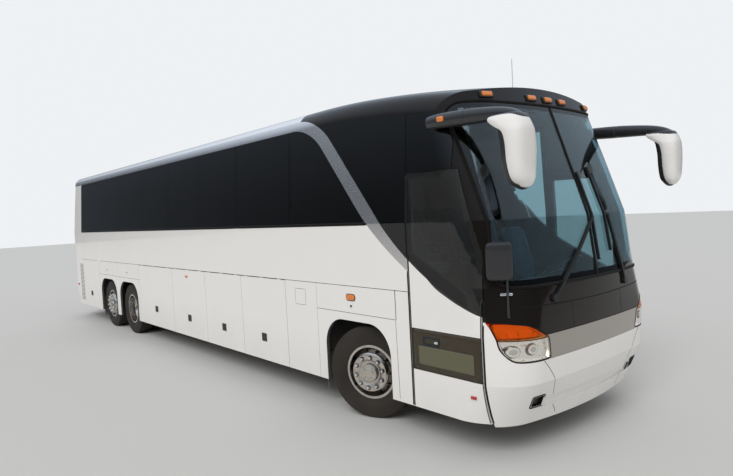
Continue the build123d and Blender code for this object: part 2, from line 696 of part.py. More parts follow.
with BuildPart() as engine_lid:
    block(TAIL_X, (-ENGINE_LID_HALF, ENGINE_LID_HALF), ENGINE_LID_Z)
    add(lid_layer, mode=Mode.INTERSECT)
    with BuildSketch(Plane.YZ.offset(REAR_X - 20)):
        with Locations((0, LID_LOUVRE_MIDDLE_Z)):
            with GridLocations(0, LOUVRE_PITCH, 1, LID_LOUVRE_ROWS):
                Rectangle(2 * LID_LOUVRE_HALF, LOUVRE_HIGH)
    extrude(amount=GROOVE_DEPTH + 20, mode=Mode.SUBTRACT)
    for barrel_y in (-700, 0, 700):
        with Locations(Location((tail_face_x, barrel_y, lid_barrel_z), (90, 0, 0))):
            Cylinder(BARREL_RADIUS, BARREL_LENGTH)
        ends = (barrel_y - BARREL_LENGTH / 2, barrel_y + BARREL_LENGTH / 2)
        block((tail_face_x, tail_face_x + 3), ends, (ENGINE_LID_Z[1] - 5, lid_barrel_z))
write(engine_lid.part, "engine_lid")
with BuildPart() as tail_lamps:
    for side in SIDES.values():
        block(TAIL_X, [side * edge for edge in TAIL_LAMP_Y], TAIL_LAMP_Z)
    add(lid_layer, mode=Mode.INTERSECT)
write(tail_lamps.part, "tail_lamps")
with BuildPart() as tail_bumper:
    block(TAIL_X, CROSS, TAIL_BUMPER_Z)
    add(wall_layer, mode=Mode.INTERSECT)
    block((REAR_X - 20, REAR_X + 105), (-PLATE_HALF, PLATE_HALF), PLATE_Z, mode=Mode.SUBTRACT)
    plate_back_z = (PLATE_Z[0] - 10, PLATE_Z[1] + 10)
    block((REAR_X + 105, REAR_X + 115), (-PLATE_HALF - 10, PLATE_HALF + 10), plate_back_z)
    add(skin, mode=Mode.INTERSECT)
write(tail_bumper.part, "tail_bumper")

# Front frame: the panel behind the mask, lamps, band and bumper that carries them
carrier_outside = body_form(DOOR_WALL + PIN_CLEARANCE)
with BuildPart() as front_frame:
    block((FRONT_ZONE_X, NOSE_X + 20), CROSS, (SKIRT_Z + 20, WINDSCREEN_LOW_Z))
    add(carrier_outside, mode=Mode.INTERSECT)
    add(cabin, mode=Mode.SUBTRACT)
    add(tow_holes.part, mode=Mode.SUBTRACT)
write(front_frame.part, "front_frame")

# Underframe: rails, luggage floor, bulkheads, side sills and axle carriers
INNER_Y = HALF_WIDTH - LID_WALL - 5
SILL_Y = HALF_WIDTH - 80
RAIL_Z = (640, 800)
FRONT_RAIL_Y = (380, 460)
REAR_RAIL_Y = (480, 560)
BULKHEAD = 20
CEILING_Z = DECK_Z - 40
BAY_FLOOR_Z = (345, 375)
FLAP_GAP = 40
FLAP_THICK = 8
FLAP_Y = (960, 1235)
FLAP_Z = (180, 620)
ARCH_FRONT_X = DOOR_REAR_X - 40
with BuildPart() as rails:
    for side in SIDES.values():
        block((LUGGAGE_X[4], NOSE_X), [side * edge for edge in FRONT_RAIL_Y], RAIL_Z)
        block((REAR_X, LUGGAGE_X[0]), [side * edge for edge in REAR_RAIL_Y], RAIL_Z)
    add(cabin, mode=Mode.INTERSECT)
TOW_BEAM_X = (NOSE_X - 430, NOSE_X - 340)
TOW_BOSS_RADIUS = 34
TOW_BORE_RADIUS = 20
TOW_BORE_LENGTH = 100
with BuildPart() as underframe:
    add(rails.part)
    block(TOW_BEAM_X, (-TOW_Y - 50, TOW_Y + 50), (TOW_Z - 45, RAIL_Z[0] + 20))
    for side in SIDES.values():
        with BuildSketch(Plane.YZ.offset(TOW_BEAM_X[1])):
            with Locations((side * TOW_Y, TOW_Z)):
                Circle(TOW_BOSS_RADIUS)
        extrude(amount=TOW_BORE_LENGTH + 20)
        with BuildSketch(Plane.YZ.offset(TOW_BEAM_X[1] + 20)):
            with Locations((side * TOW_Y, TOW_Z)):
                Circle(TOW_BORE_RADIUS)
        extrude(amount=TOW_BORE_LENGTH, mode=Mode.SUBTRACT)
    block((LUGGAGE_X[0], LUGGAGE_X[4]), (-INNER_Y, INNER_Y), BAY_FLOOR_Z)
    for x in LUGGAGE_X + [FUEL_PANEL_FRONT_X + 10, ARCH_FRONT_X, TAG_AXLE_X - 690]:
        block((x - BULKHEAD / 2, x + BULKHEAD / 2), (-INNER_Y, INNER_Y), (BAY_FLOOR_Z[0], CEILING_Z))
    for side in SIDES.values():
        sill_y = (side * (SILL_Y + SEAT_GAP), side * INNER_Y)
        block((TAIL_SPLIT_X, ARCH_FRONT_X), sill_y, (CEILING_Z + SEAT_GAP, SEAM_Z))
        for x in (FUEL_PANEL_FRONT_X + 20, TAG_AXLE_X - 680):
            flap_y = [side * edge for edge in FLAP_Y]
            block((x + FLAP_GAP, x + FLAP_GAP + FLAP_THICK), flap_y, FLAP_Z)
            block((x, x + FLAP_GAP), flap_y, (FLAP_Z[1] - 20, FLAP_Z[1]))
        for x in (FRONT_AXLE_X, DRIVE_AXLE_X, TAG_AXLE_X):
            rail_y = FRONT_RAIL_Y if x == FRONT_AXLE_X else REAR_RAIL_Y
            block((x - 90, x + 90), [side * edge for edge in rail_y], (RAIL_Z[1], CEILING_Z))
write(underframe.part, "underframe")

# Cabin floor: the passenger deck, the driver's platform and the entry steps
STEP_EDGE_Y = [-1130, -930, -640]
STEP_Z = [375, 640, PLATFORM_Z]
PLATFORM_FRONT_X = NOSE_X - 265
WELL_FRONT_X = COLUMN_X - 45
BEARING_Z = [(345, 375), (860, 890)]
with BuildPart() as cabin_floor:
    block((REAR_X + TAIL_CORNER + 25, DOOR_REAR_X - 4), (-SILL_Y, SILL_Y), (CEILING_Z, DECK_Z))
    well_x = (DOOR_REAR_X + SEAT_GAP, WELL_FRONT_X)
    platform_x = (DOOR_REAR_X + SEAT_GAP, PLATFORM_FRONT_X)
    block(platform_x, (STEP_EDGE_Y[2], SILL_Y - 80), (PLATFORM_Z - 40, PLATFORM_Z))
    for index in (0, 1):
        tread_y = (STEP_EDGE_Y[index], STEP_EDGE_Y[index + 1] + BULKHEAD)
        block(well_x, tread_y, (STEP_Z[index] - 30, STEP_Z[index]))
        riser_y = (STEP_EDGE_Y[index + 1], STEP_EDGE_Y[index + 1] + BULKHEAD)
        block(well_x, riser_y, (STEP_Z[index] - 30, STEP_Z[index + 1]))
    block((DOOR_REAR_X - 20, DOOR_REAR_X), (STEP_EDGE_Y[0], STEP_EDGE_Y[2]), (BAY_FLOOR_Z[0], DECK_Z))
    block((DOOR_REAR_X - 20, DOOR_REAR_X), (STEP_EDGE_Y[2], SILL_Y - 80), (PLATFORM_Z - 40, DECK_Z))
    well_wall_y = (STEP_EDGE_Y[0] + 10, STEP_EDGE_Y[2] + BULKHEAD)
    block((WELL_FRONT_X, WELL_FRONT_X + BULKHEAD), well_wall_y, (BAY_FLOOR_Z[0], PLATFORM_Z))
    for z in BEARING_Z:
        block((WELL_FRONT_X, COLUMN_X + 30), (COLUMN_Y - 30, STEP_EDGE_Y[0] + 20), z)
        with Locations((COLUMN_X, COLUMN_Y, sum(z) / 2)):
            Cylinder(COLUMN_RADIUS + PIN_CLEARANCE, z[1] - z[0], mode=Mode.SUBTRACT)
write(cabin_floor.part, "cabin_floor")

# Wheels: tyres on pressed rims; front and tag discs bulge outwards, drive twins are dished
BEAD_RADIUS = 285
HUB_RADIUS = 110
SPINDLE_RADIUS = 60
RIM_WALL = 13


def tyre_outline(offset):
    """Half-section of a tyre in axle coordinates (distance along the axle, radius)."""
    half = TYRE_WIDTH / 2
    seat = RIM_WIDTH / 2 - 8
    with BuildLine() as outline:
        Polyline((offset - seat, RIM_RADIUS + 1), (offset - seat, BEAD_RADIUS), (offset + seat, BEAD_RADIUS),
                 (offset + seat, RIM_RADIUS + 1))
        for sign in (1, -1):
            ThreePointArc((offset + sign * seat, RIM_RADIUS + 1), (offset + sign * half, 395),
                          (offset + sign * (half - 18), TYRE_RADIUS - 25))
            ThreePointArc((offset + sign * (half - 18), TYRE_RADIUS - 25),
                          (offset + sign * (half - 24), TYRE_RADIUS - 9),
                          (offset + sign * (half - 38), TYRE_RADIUS))
        Line((offset + half - 38, TYRE_RADIUS), (offset - half + 38, TYRE_RADIUS))
    return outline.line


def rim_outline(offset, face, outwards):
    """Half-section of a rim whose disc reaches from the barrel to its face."""
    half = RIM_WIDTH / 2
    inside = BEAD_RADIUS - RIM_WALL
    root = offset + outwards * 25
    with BuildLine() as outline:
        Polyline((offset - half, RIM_RADIUS), (offset - half + 8, RIM_RADIUS),
                 (offset - half + 8, BEAD_RADIUS), (offset + half - 8, BEAD_RADIUS),
                 (offset + half - 8, RIM_RADIUS), (offset + half, RIM_RADIUS),
                 (offset + half, inside), (root + 20, inside), (face - outwards * 25 + 8, 215),
                 (face + 7, 190), (face + 7, HUB_RADIUS - 5), (face - 7, HUB_RADIUS - 5), (face - 7, 190),
                 (face - outwards * 25 - 8, 215), (root - 20, inside), (offset - half, inside), close=True)
    return outline.line


def turned(part, angle, point):
    """The part turned about a vertical axis through the point."""
    axis = Axis(point, (0, 0, 1))
    return part.rotate(axis, angle)


def place_wheel(part, x, side, name):
    """Put a wheel, drawn for the right side about the Y axis, at its axle and steer it."""
    placed = part if side < 0 else part.mirror(Plane.XZ)
    placed = placed.translate((x, 0, TYRE_RADIUS))
    if x == FRONT_AXLE_X:
        placed = turned(placed, STEER_AT_REST, (x, side * KINGPIN_Y, 0))
    write(placed, name)


# Columns: axle name, axle place, centres of the tyres from the middle, disc face, bulge
# direction. Distances along the axle are negative towards the right side.
SINGLE_FACE = -WHEEL_Y - 150
TWIN_FACE = -(WHEEL_Y + TWIN_INNER_Y) / 2
AXLES = [
    ("front", FRONT_AXLE_X, [(-WHEEL_Y, SINGLE_FACE, -1)]),
    ("drive", DRIVE_AXLE_X, [(-WHEEL_Y, TWIN_FACE - 8, 1), (-TWIN_INNER_Y, TWIN_FACE + 8, -1)]),
    ("tag", TAG_AXLE_X, [(-WHEEL_Y, SINGLE_FACE, -1)]),
]
HUB_CAP = 30
HAND_HOLES = 10
HAND_HOLE_PLACE = 243
HAND_HOLE_RADIUS = 19
for axle, x, rows in AXLES:
    with BuildPart() as tyre:
        for offset, face, outwards in rows:
            with BuildSketch(Plane.YZ):
                add(tyre_outline(offset))
                make_face()
        revolve(axis=Axis.Y)
    with BuildPart() as rim:
        for offset, face, outwards in rows:
            with BuildSketch(Plane.YZ):
                add(rim_outline(offset, face, outwards))
                make_face()
        revolve(axis=Axis.Y)
        face = rows[0][1]
        hub_out = face - 7 if axle != "drive" else face - 120
        hub_in = -KINGPIN_Y - 95 if axle == "front" else face + 150
        hub_plane = Plane.XZ.offset(-hub_in)
        with BuildSketch(hub_plane):
            Circle(HUB_RADIUS)
        extrude(amount=hub_in - hub_out)
        with BuildSketch(Plane.XZ.offset(-hub_out)):
            Circle(HUB_RADIUS - 15)
        extrude(amount=HUB_CAP, taper=12)
        with BuildSketch(hub_plane):
            Circle(SPINDLE_RADIUS + PIN_CLEARANCE)
        extrude(amount=hub_in - hub_out - 20, mode=Mode.SUBTRACT)
        with BuildSketch(Plane.XZ.offset(-rows[-1][0])):
            with PolarLocations(HAND_HOLE_PLACE, HAND_HOLES):
                Circle(HAND_HOLE_RADIUS)
        extrude(amount=rows[-1][0] - rows[0][0] + 150, mode=Mode.SUBTRACT)
    for name, side in SIDES.items():
        place_wheel(tyre.part, x, side, f"{axle}_{name}_tyre")
        place_wheel(rim.part, x, side, f"{axle}_{name}_rim")

# Front axle: a beam between two kingpins, and the knuckles that turn on them
BEAM_Z = (455, 575)
EYE_RADIUS = 50
EAR_HIGH = 60
THRUST_GAP = 3
PIN_Z = (BEAM_Z[0] - THRUST_GAP - EAR_HIGH, BEAM_Z[1] + THRUST_GAP + EAR_HIGH)
SEAT_Z = (BEAM_Z[1], RAIL_Z[0])
with BuildPart() as front_axle:
    block((FRONT_AXLE_X - 60, FRONT_AXLE_X + 60), (-KINGPIN_Y + 40, KINGPIN_Y - 40), BEAM_Z)
    for side in SIDES.values():
        block((FRONT_AXLE_X - 60, FRONT_AXLE_X + 60), [side * edge for edge in FRONT_RAIL_Y], SEAT_Z)
        with Locations((FRONT_AXLE_X, side * KINGPIN_Y, sum(BEAM_Z) / 2)):
            Cylinder(EYE_RADIUS, BEAM_Z[1] - BEAM_Z[0])
        with Locations((FRONT_AXLE_X, side * KINGPIN_Y, sum(PIN_Z) / 2)):
            Cylinder(KINGPIN_RADIUS, PIN_Z[1] - PIN_Z[0])
write(front_axle.part, "front_axle")

TRACK_ARM = 190
TRACK_PIN_RADIUS = 12
TRACK_ARM_Z = (PIN_Z[0], PIN_Z[0] + 30)
hub_back = KINGPIN_Y + 95
spindle_end = -SINGLE_FACE + 7 - 30
for name, side in SIDES.items():
    pin_place = (FRONT_AXLE_X, side * KINGPIN_Y)
    with BuildPart() as knuckle:
        for z in ((PIN_Z[0], BEAM_Z[0] - THRUST_GAP), (BEAM_Z[1] + THRUST_GAP, PIN_Z[1])):
            with Locations((*pin_place, sum(z) / 2)):
                Cylinder(EYE_RADIUS, EAR_HIGH)
            block((FRONT_AXLE_X - 45, FRONT_AXLE_X + 45), (side * KINGPIN_Y, side * (hub_back - 12)), z)
        upright_y = (side * (KINGPIN_Y + 58), side * (hub_back - 12))
        block((FRONT_AXLE_X - 45, FRONT_AXLE_X + 45), upright_y, PIN_Z)
        with BuildSketch(Plane.XZ.offset(-side * (hub_back - 12))):
            with Locations((FRONT_AXLE_X, TYRE_RADIUS)):
                Circle(SPINDLE_RADIUS)
        extrude(amount=-side * (spindle_end - hub_back + 12))
        arm_x = (FRONT_AXLE_X - TRACK_ARM, FRONT_AXLE_X)
        block(arm_x, (side * (KINGPIN_Y - 20), side * (KINGPIN_Y + 20)), TRACK_ARM_Z)
        with Locations((*pin_place, sum(PIN_Z) / 2)):
            Cylinder(KINGPIN_RADIUS + PIN_CLEARANCE, PIN_Z[1] - PIN_Z[0], mode=Mode.SUBTRACT)
        with Locations((FRONT_AXLE_X - TRACK_ARM + 20, side * KINGPIN_Y, sum(TRACK_ARM_Z) / 2)):
            Cylinder(TRACK_PIN_RADIUS + PIN_CLEARANCE, 60, mode=Mode.SUBTRACT)
    write(turned(knuckle.part, STEER_AT_REST, (*pin_place, 0)), f"{name}_knuckle")

# Track rod: it joins both track arms and keeps them parallel
ROD_RADIUS = 18
rod_z = TRACK_ARM_Z[0] - ROD_RADIUS - THRUST_GAP
pin_step = Vector(20 - TRACK_ARM, 0, 0).rotate(Axis.Z, STEER_AT_REST)
track_pins = [Vector(FRONT_AXLE_X, side * KINGPIN_Y, 0) + pin_step for side in SIDES.values()]
with BuildPart() as track_rod:
    with Locations(Location((track_pins[0].X, pin_step.Y, rod_z), (90, 0, 0))):
        Cylinder(ROD_RADIUS, 2 * KINGPIN_Y)
    for pin in track_pins:
        with Locations((pin.X, pin.Y, rod_z)):
            Cylinder(ROD_RADIUS + 6, 2 * ROD_RADIUS + THRUST_GAP)
        with Locations((pin.X, pin.Y, (rod_z + TRACK_ARM_Z[1]) / 2)):
            Cylinder(TRACK_PIN_RADIUS, TRACK_ARM_Z[1] - rod_z)
write(track_rod.part, "track_rod")

# Drive and tag axles: a tube with its spindles, carried under the rear rails
TUBE_RADIUS = 85
for axle, x, rows in AXLES[1:]:
    face = rows[0][1]
    hub_in = face + 150
    spindle_tip = (face - 120 if axle == "drive" else face - 7) + 30
    with BuildPart() as beam:
        with Locations(Location((x, 0, TYRE_RADIUS), (90, 0, 0))):
            Cylinder(SPINDLE_RADIUS, -2 * spindle_tip)
            Cylinder(TUBE_RADIUS, -2 * hub_in - 24)
            if axle == "drive":
                Sphere(230)
        for side in SIDES.values():
            block((x - 70, x + 70), [side * edge for edge in REAR_RAIL_Y], (TYRE_RADIUS + 40, RAIL_Z[0]))
    write(beam.part, f"{axle}_axle")

# Engine: one plain block behind the tag axle, on the rails
with BuildPart() as engine:
    block((REAR_X + 430, TAG_AXLE_X - 760), (-REAR_RAIL_Y[0] + 1, REAR_RAIL_Y[0] - 1), (480, CEILING_Z - 30))
    block((REAR_X + 900, REAR_X + 1100), (-REAR_RAIL_Y[0], REAR_RAIL_Y[0]), (RAIL_Z[0] + 20, RAIL_Z[1] - 20))
write(engine.part, "engine")

# Driver's place: instrument panel, steering wheel and seat
DRIVER_Y = 620
DASH_REAR_X = NOSE_X - 620
with BuildPart() as dashboard:
    with BuildSketch(Plane.XZ.offset(-1120)):
        with BuildLine():
            Polyline((DASH_REAR_X, 1180), (DASH_REAR_X + 60, 1400), (DASH_REAR_X + 200, 1480), (NOSE_X, 1500),
                     (NOSE_X, 905), (NOSE_X - 330, 905), (NOSE_X - 330, 1180), close=True)
        make_face()
    extrude(amount=2240)
    block((COLUMN_X - 90, COLUMN_X + 90), (-1140, COLUMN_Y + 70), (800, 1600), mode=Mode.SUBTRACT)
    add(cabin, mode=Mode.INTERSECT)
write(dashboard.part, "dashboard")

WHEEL_CENTRE = (DASH_REAR_X - 130, DRIVER_Y, 1560)
WHEEL_TILT = -28
with BuildPart() as steering_wheel:
    with Locations(Location(WHEEL_CENTRE, (0, WHEEL_TILT, 0))):
        Torus(225, 15)
        Cylinder(45, 30)
        Cylinder(22, 330, align=(Align.CENTER, Align.CENTER, Align.MAX))
        for angle in (0, 120, 240):
            with Locations(Location((0, 0, 0), (0, 0, angle))):
                Box(225, 26, 12, align=(Align.MIN, Align.CENTER, Align.CENTER))
    add(dashboard.part, mode=Mode.SUBTRACT)
write(steering_wheel.part, "steering_wheel")

SEAT_PROFILE = [(-60, 0), (400, 0), (430, 60), (400, 120), (40, 110), (-130, 760), (-230, 740), (-90, 60)]


def seat_outline(x, z):
    """Side view of a seat whose cushion starts at x and rests at height z."""
    with BuildLine() as outline:
        Polyline(*[(x + dx, z + dz) for dx, dz in SEAT_PROFILE], close=True)
    return outline.line


DRIVER_SEAT_X = DASH_REAR_X - 600
with BuildPart() as driver_seat:
    with BuildSketch(Plane.XZ.offset(-DRIVER_Y - 250)):
        add(seat_outline(DRIVER_SEAT_X, 1280))
        make_face()
    extrude(amount=500)
    block((DRIVER_SEAT_X + 60, DRIVER_SEAT_X + 340), (DRIVER_Y - 140, DRIVER_Y + 140), (PLATFORM_Z, 1285))
write(driver_seat.part, "driver_seat")

ROW_PITCH = 810
FIRST_ROW_X = DOOR_REAR_X - 700
ROWS = 14
with BuildPart() as passenger_seats:
    for side in SIDES.values():
        with BuildSketch(Plane.XZ.offset(-side * 240)):
            for row in range(ROWS):
                add(seat_outline(FIRST_ROW_X - row * ROW_PITCH, DECK_Z + 330))
                make_face()
        extrude(amount=-side * 930)
        for row in range(ROWS):
            seat_x = FIRST_ROW_X - row * ROW_PITCH
            block((seat_x + 100, seat_x + 300), (side * 420, side * 940), (DECK_Z, DECK_Z + 335))
write(passenger_seats.part, "passenger_seats")

# Mirrors: arm pods that grow from the upper sides, reach ahead and carry their heads in
# front of the windscreen. Columns of the pod: distance ahead of the door's front edge,
# distance from the middle, height, radius.
MIRROR_POD = [
    (-600, 1244, 3108, 14), (-525, 1262, 3106, 42), (-395, 1275, 3100, 58), (-195, 1286, 3088, 68),
    (55, 1298, 3068, 70), (305, 1312, 3045, 66), (425, 1335, 3020, 60), (520, 1372, 2985, 42),
]
# Columns of the head: height, its rear edge and front bulge measured back from the very
# front, its inner and outer edge.
MIRROR_HEAD = [
    (2400, 120, 66, 1325, 1400), (2475, 158, 20, 1264, 1500), (2750, 171, 0, 1240, 1540),
    (2930, 215, 12, 1252, 1532), (3015, 260, 55, 1280, 1490),
]
MIRROR_BULGE = 0.72


def head_outline(rear, front, inner, outer):
    """A mirror head's plan outline: flat behind, bulging in front of two round corners."""
    depth = (front - rear) * MIRROR_BULGE
    with BuildLine() as outline:
        Line((rear, -outer), (rear, -inner))
        edge = Line((rear, -inner), (rear + depth * 0.5, -inner))
        nose = ThreePointArc(edge @ 1, (front, -(inner + outer) / 2), (rear + depth * 0.5, -outer))
        Line(nose @ 1, (rear, -outer))
    return outline.line


with BuildPart() as mirror_pod:
    for ahead, y, z, radius in MIRROR_POD:
        with BuildSketch(Plane.YZ.offset(DOOR_FRONT_X + ahead)):
            with Locations((-y, z)):
                Circle(radius)
    loft()
    add(skin, mode=Mode.SUBTRACT)
with BuildPart() as mirror_head:
    for z, rear, front, inner, outer in MIRROR_HEAD:
        with BuildSketch(Plane.XY.offset(z)):
            add(head_outline(FRONT_X - rear, FRONT_X - front, inner, outer))
            make_face()
    loft()

# Small corner mirror on a post, turned towards the driver
CORNER_POST = (NOSE_X - 199, -1172)
CORNER_POST_Z = (1305, 1900)
CORNER_HEAD = (NOSE_X - 237, -1224, 1795)
CORNER_FACING = (0.6, -0.8, 0)
with BuildPart() as mirrors:
    add(mirror_pod.part)
    add(mirror_head.part)
    mirror(about=Plane.XZ)
    with BuildSketch(Plane(CORNER_HEAD, x_dir=(0.8, 0.6, 0), z_dir=CORNER_FACING)):
        RectangleRounded(225, 330, 45)
    extrude(amount=62, taper=16)
    with Locations((*CORNER_POST, sum(CORNER_POST_Z) / 2)):
        Cylinder(10, CORNER_POST_Z[1] - CORNER_POST_Z[0])
    with Locations((*CORNER_POST, CORNER_POST_Z[0] + 20), (*CORNER_POST, CORNER_HEAD[2])):
        Cylinder(22, 40)
    add(skin, mode=Mode.SUBTRACT)
write(mirrors.part, "mirrors")

# Wipers: drawn in front view as bars and feet, lying close on the glass and the mask.
# Columns of the bars: start (y, z), end (y, z), width.
WIPER_PROUD = 26
WIPER_BARS = [
    ((-703, 1427), (62, 2125), 26), ((52, 1700), (38, 2560), 24),
    ((573, 1441), (376, 2139), 34), ((325, 1768), (283, 2617), 24), ((370, 2130), (302, 2150), 24),
]
WIPER_FEET = [(-703, 1427), (573, 1441)]


def bar_outline(start, end, width):
    """A straight bar between two points, seen square on."""
    way = Vector(end[0] - start[0], end[1] - start[1]).normalized()
    across_way = Vector(-way.Y, way.X) * width / 2
    first, last = Vector(*start), Vector(*end)
    with BuildLine() as outline:
        Polyline(first + across_way, last + across_way, last - across_way, first - across_way, close=True)
    return outline.line


with BuildPart() as wipers:
    with BuildSketch(Plane.YZ.offset(NOSE_X - 700)):
        for start, end, width in WIPER_BARS:
            add(bar_outline(start, end, width))
            make_face()
        with Locations(*WIPER_FEET):
            Circle(36)
    extrude(amount=800)
    add(layer(body_form(-WIPER_PROUD), body_form(-SEAT_GAP)), mode=Mode.INTERSECT)
write(wipers.part, "wipers")

# Roof marker lamps along the front edge of the roof
MARKER_Y = [-874, -230, 0, 230, 874]
with BuildPart() as marker_lamps:
    for y in MARKER_Y:
        with Locations((NOSE_X - 640, y, 3360)):
            Box(150, 90, 160)
    add(raised, mode=Mode.INTERSECT)
    add(skin, mode=Mode.SUBTRACT)
write(marker_lamps.part, "marker_lamps")

# Roof fittings: two escape hatches and a whip aerial
HATCH_X = (FRONT_AXLE_X - 2400, DRIVE_AXLE_X - 600)
HATCH_SIZE = (620, 640)
HATCH_PROUD = 16
AERIAL_X = DOOR_REAR_X + 392
AERIAL_TIP_Z = 3812
hatch_top = body_form(-HATCH_PROUD)
with BuildPart() as roof_fittings:
    for x in HATCH_X:
        with BuildSketch(Plane.XY.offset(ROOF_HEIGHT - 100)):
            with Locations((x, 0)):
                RectangleRounded(*HATCH_SIZE, 60)
        extrude(amount=200)
    add(hatch_top, mode=Mode.INTERSECT)
    with BuildSketch(Plane.XY.offset(ROOF_HEIGHT - 250)):
        with Locations((AERIAL_X, 0)):
            Circle(24)
    extrude(amount=95, taper=8)
    with BuildSketch(Plane.XY.offset(ROOF_HEIGHT - 250)):
        with Locations((AERIAL_X, 0)):
            Circle(4)
    extrude(amount=AERIAL_TIP_Z - ROOF_HEIGHT + 250)
    add(skin, mode=Mode.SUBTRACT)
write(roof_fittings.part, "roof_fittings")
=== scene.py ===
"""Three-axle touring coach. Metres, +X to the front, +Y to its left side, +Z up."""

import bmesh
import bpy
import numpy as np
from mathutils import Matrix, Vector
from mathutils.bvhtree import BVHTree


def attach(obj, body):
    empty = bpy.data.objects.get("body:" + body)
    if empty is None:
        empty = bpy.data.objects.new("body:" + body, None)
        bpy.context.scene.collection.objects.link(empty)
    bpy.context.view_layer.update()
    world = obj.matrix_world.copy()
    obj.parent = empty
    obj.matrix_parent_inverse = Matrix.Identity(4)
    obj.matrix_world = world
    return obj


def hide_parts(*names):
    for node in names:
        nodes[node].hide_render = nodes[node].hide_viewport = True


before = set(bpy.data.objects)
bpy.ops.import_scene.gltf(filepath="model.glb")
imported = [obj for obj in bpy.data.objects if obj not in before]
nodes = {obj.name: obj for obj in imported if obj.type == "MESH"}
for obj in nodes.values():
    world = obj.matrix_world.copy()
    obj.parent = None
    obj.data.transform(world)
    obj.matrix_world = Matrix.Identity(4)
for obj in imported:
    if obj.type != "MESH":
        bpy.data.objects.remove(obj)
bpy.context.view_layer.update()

# Studio: a plain pale floor under an even pale sky, with one soft lamp on the door side. Glossy
# surfaces mirror a room that is dim at eye level and bright overhead. The camera stands where the
# photographer stood, at head height by the right front corner.
HALF_FLOOR = 80
FLOOR_COLOUR = (0.60, 0.60, 0.59, 1)
SKY_SEEN = (0.86, 0.88, 0.9, 1)
SKY_MIRRORED = (0.74, 0.85, 1.0, 1)
SKY_LIGHT = (1.0, 0.99, 0.97, 1)
SKY_STRENGTH = 0.66
MIRRORED_LOW, MIRRORED_HIGH = 0.12, 0.95
MIRRORED_RISE = (0.05, 0.6)
LAMP_STRENGTH = 1.45
LAMP_WIDTH = np.radians(35)
LAMP_HEADING = Vector((-0.35, 0.72, -0.75))
CAMERA_PLACE = Vector((9.567, -5.280, 2.274))
AZIMUTH, PITCH, ROLL = np.radians((49.749, -2.544, -2.991))
LENS_MM = 28.594
SENSOR_MM = 36
FAR = 500


def put_object(name, data):
    """An object that holds the data, in the scene."""
    obj = bpy.data.objects.new(name, data)
    bpy.context.scene.collection.objects.link(obj)
    return obj


def feed(tree, value, socket):
    """Join a socket to another one, or set it to a plain value."""
    if isinstance(value, bpy.types.NodeSocket):
        tree.links.new(value, socket)
    else:
        socket.default_value = value


def add_node(tree, kind, **values):
    """A shader node with its plain properties set by name and its sockets by their labels."""
    node = tree.nodes.new(kind)
    for key, value in values.items():
        if hasattr(node, key):
            setattr(node, key, value)
        else:
            feed(tree, value, node.inputs[key.replace("_", " ")])
    return node


def finish(tree, **values):
    """Give a material's Principled shader plain values or sockets, by their labels."""
    for key, value in values.items():
        feed(tree, value, tree.nodes["Principled BSDF"].inputs[key.replace("_", " ")])


def shader(name, **values):
    """A material with one Principled shader, and its node tree."""
    material = bpy.data.materials.new(name)
    material.use_nodes = True
    finish(material.node_tree, **values)
    return material, material.node_tree


def math(tree, operation, *values, vector=False):
    """A maths node between plain values or sockets; gives its output socket."""
    node = add_node(tree, "ShaderNodeVectorMath" if vector else "ShaderNodeMath", operation=operation)
    for socket, value in zip(node.inputs, values):
        feed(tree, value, socket)
    return node.outputs["Value" if operation in ("DOT_PRODUCT", "DISTANCE") else 0]


def layered(tree, base, *coats, kind="RGBA"):
    """A colour or value with others laid over it, each given with the mask that shows it."""
    first, out = {"RGBA": (6, 2), "FLOAT": (2, 0)}[kind]
    for mask, coat in coats:
        mix = add_node(tree, "ShaderNodeMix", data_type=kind)
        for socket, value in ((0, mask), (first, base), (first + 1, coat)):
            feed(tree, value, mix.inputs[socket])
        base = mix.outputs[out]
    return base


def ramp(tree, value, low, high, start=0.0, stop=1.0, shape="LINEAR"):
    """A value between start and stop mapped to one between low and high."""
    node = add_node(tree, "ShaderNodeMapRange", interpolation_type=shape)
    for socket, part in zip(node.inputs, (value, start, stop, low, high)):
        feed(tree, part, socket)
    return node.outputs[0]


floor_mesh = bpy.data.meshes.new("floor")
floor_mesh.from_pydata([(x * HALF_FLOOR, y * HALF_FLOOR, 0) for x, y in ((-1, -1), (1, -1), (1, 1), (-1, 1))],
                       [], [(0, 1, 2, 3)])
floor_mesh.materials.append(shader("studio floor", Base_Color=FLOOR_COLOUR, Roughness=0.7)[0])
put_object("floor", floor_mesh)

world = bpy.data.worlds.new("studio sky")
world.use_nodes = True
bpy.context.scene.world = world
tree = world.node_tree
ray = add_node(tree, "ShaderNodeLightPath").outputs
seen = math(tree, "MAXIMUM", ray["Is Camera Ray"], ray["Is Transmission Ray"])
place = add_node(tree, "ShaderNodeTexCoord").outputs["Generated"]
height = add_node(tree, "ShaderNodeSeparateXYZ", Vector=place).outputs["Z"]
ceiling = ramp(tree, height, MIRRORED_LOW, MIRRORED_HIGH, *MIRRORED_RISE, "SMOOTHSTEP")
sky = tree.nodes["Background"].inputs
feed(tree, layered(tree, SKY_LIGHT, (ray["Is Glossy Ray"], SKY_MIRRORED), (seen, SKY_SEEN)), sky["Color"])
feed(tree, layered(tree, SKY_STRENGTH, (ray["Is Glossy Ray"], ceiling), (seen, 1.0), kind="FLOAT"),
     sky["Strength"])

lamp = bpy.data.lights.new("soft lamp", "SUN")
lamp.energy = LAMP_STRENGTH
lamp.angle = LAMP_WIDTH
lamp_object = put_object("soft lamp", lamp)
lamp_object.rotation_euler = LAMP_HEADING.to_track_quat("-Z", "Y").to_euler()
lamp_object.visible_glossy = False

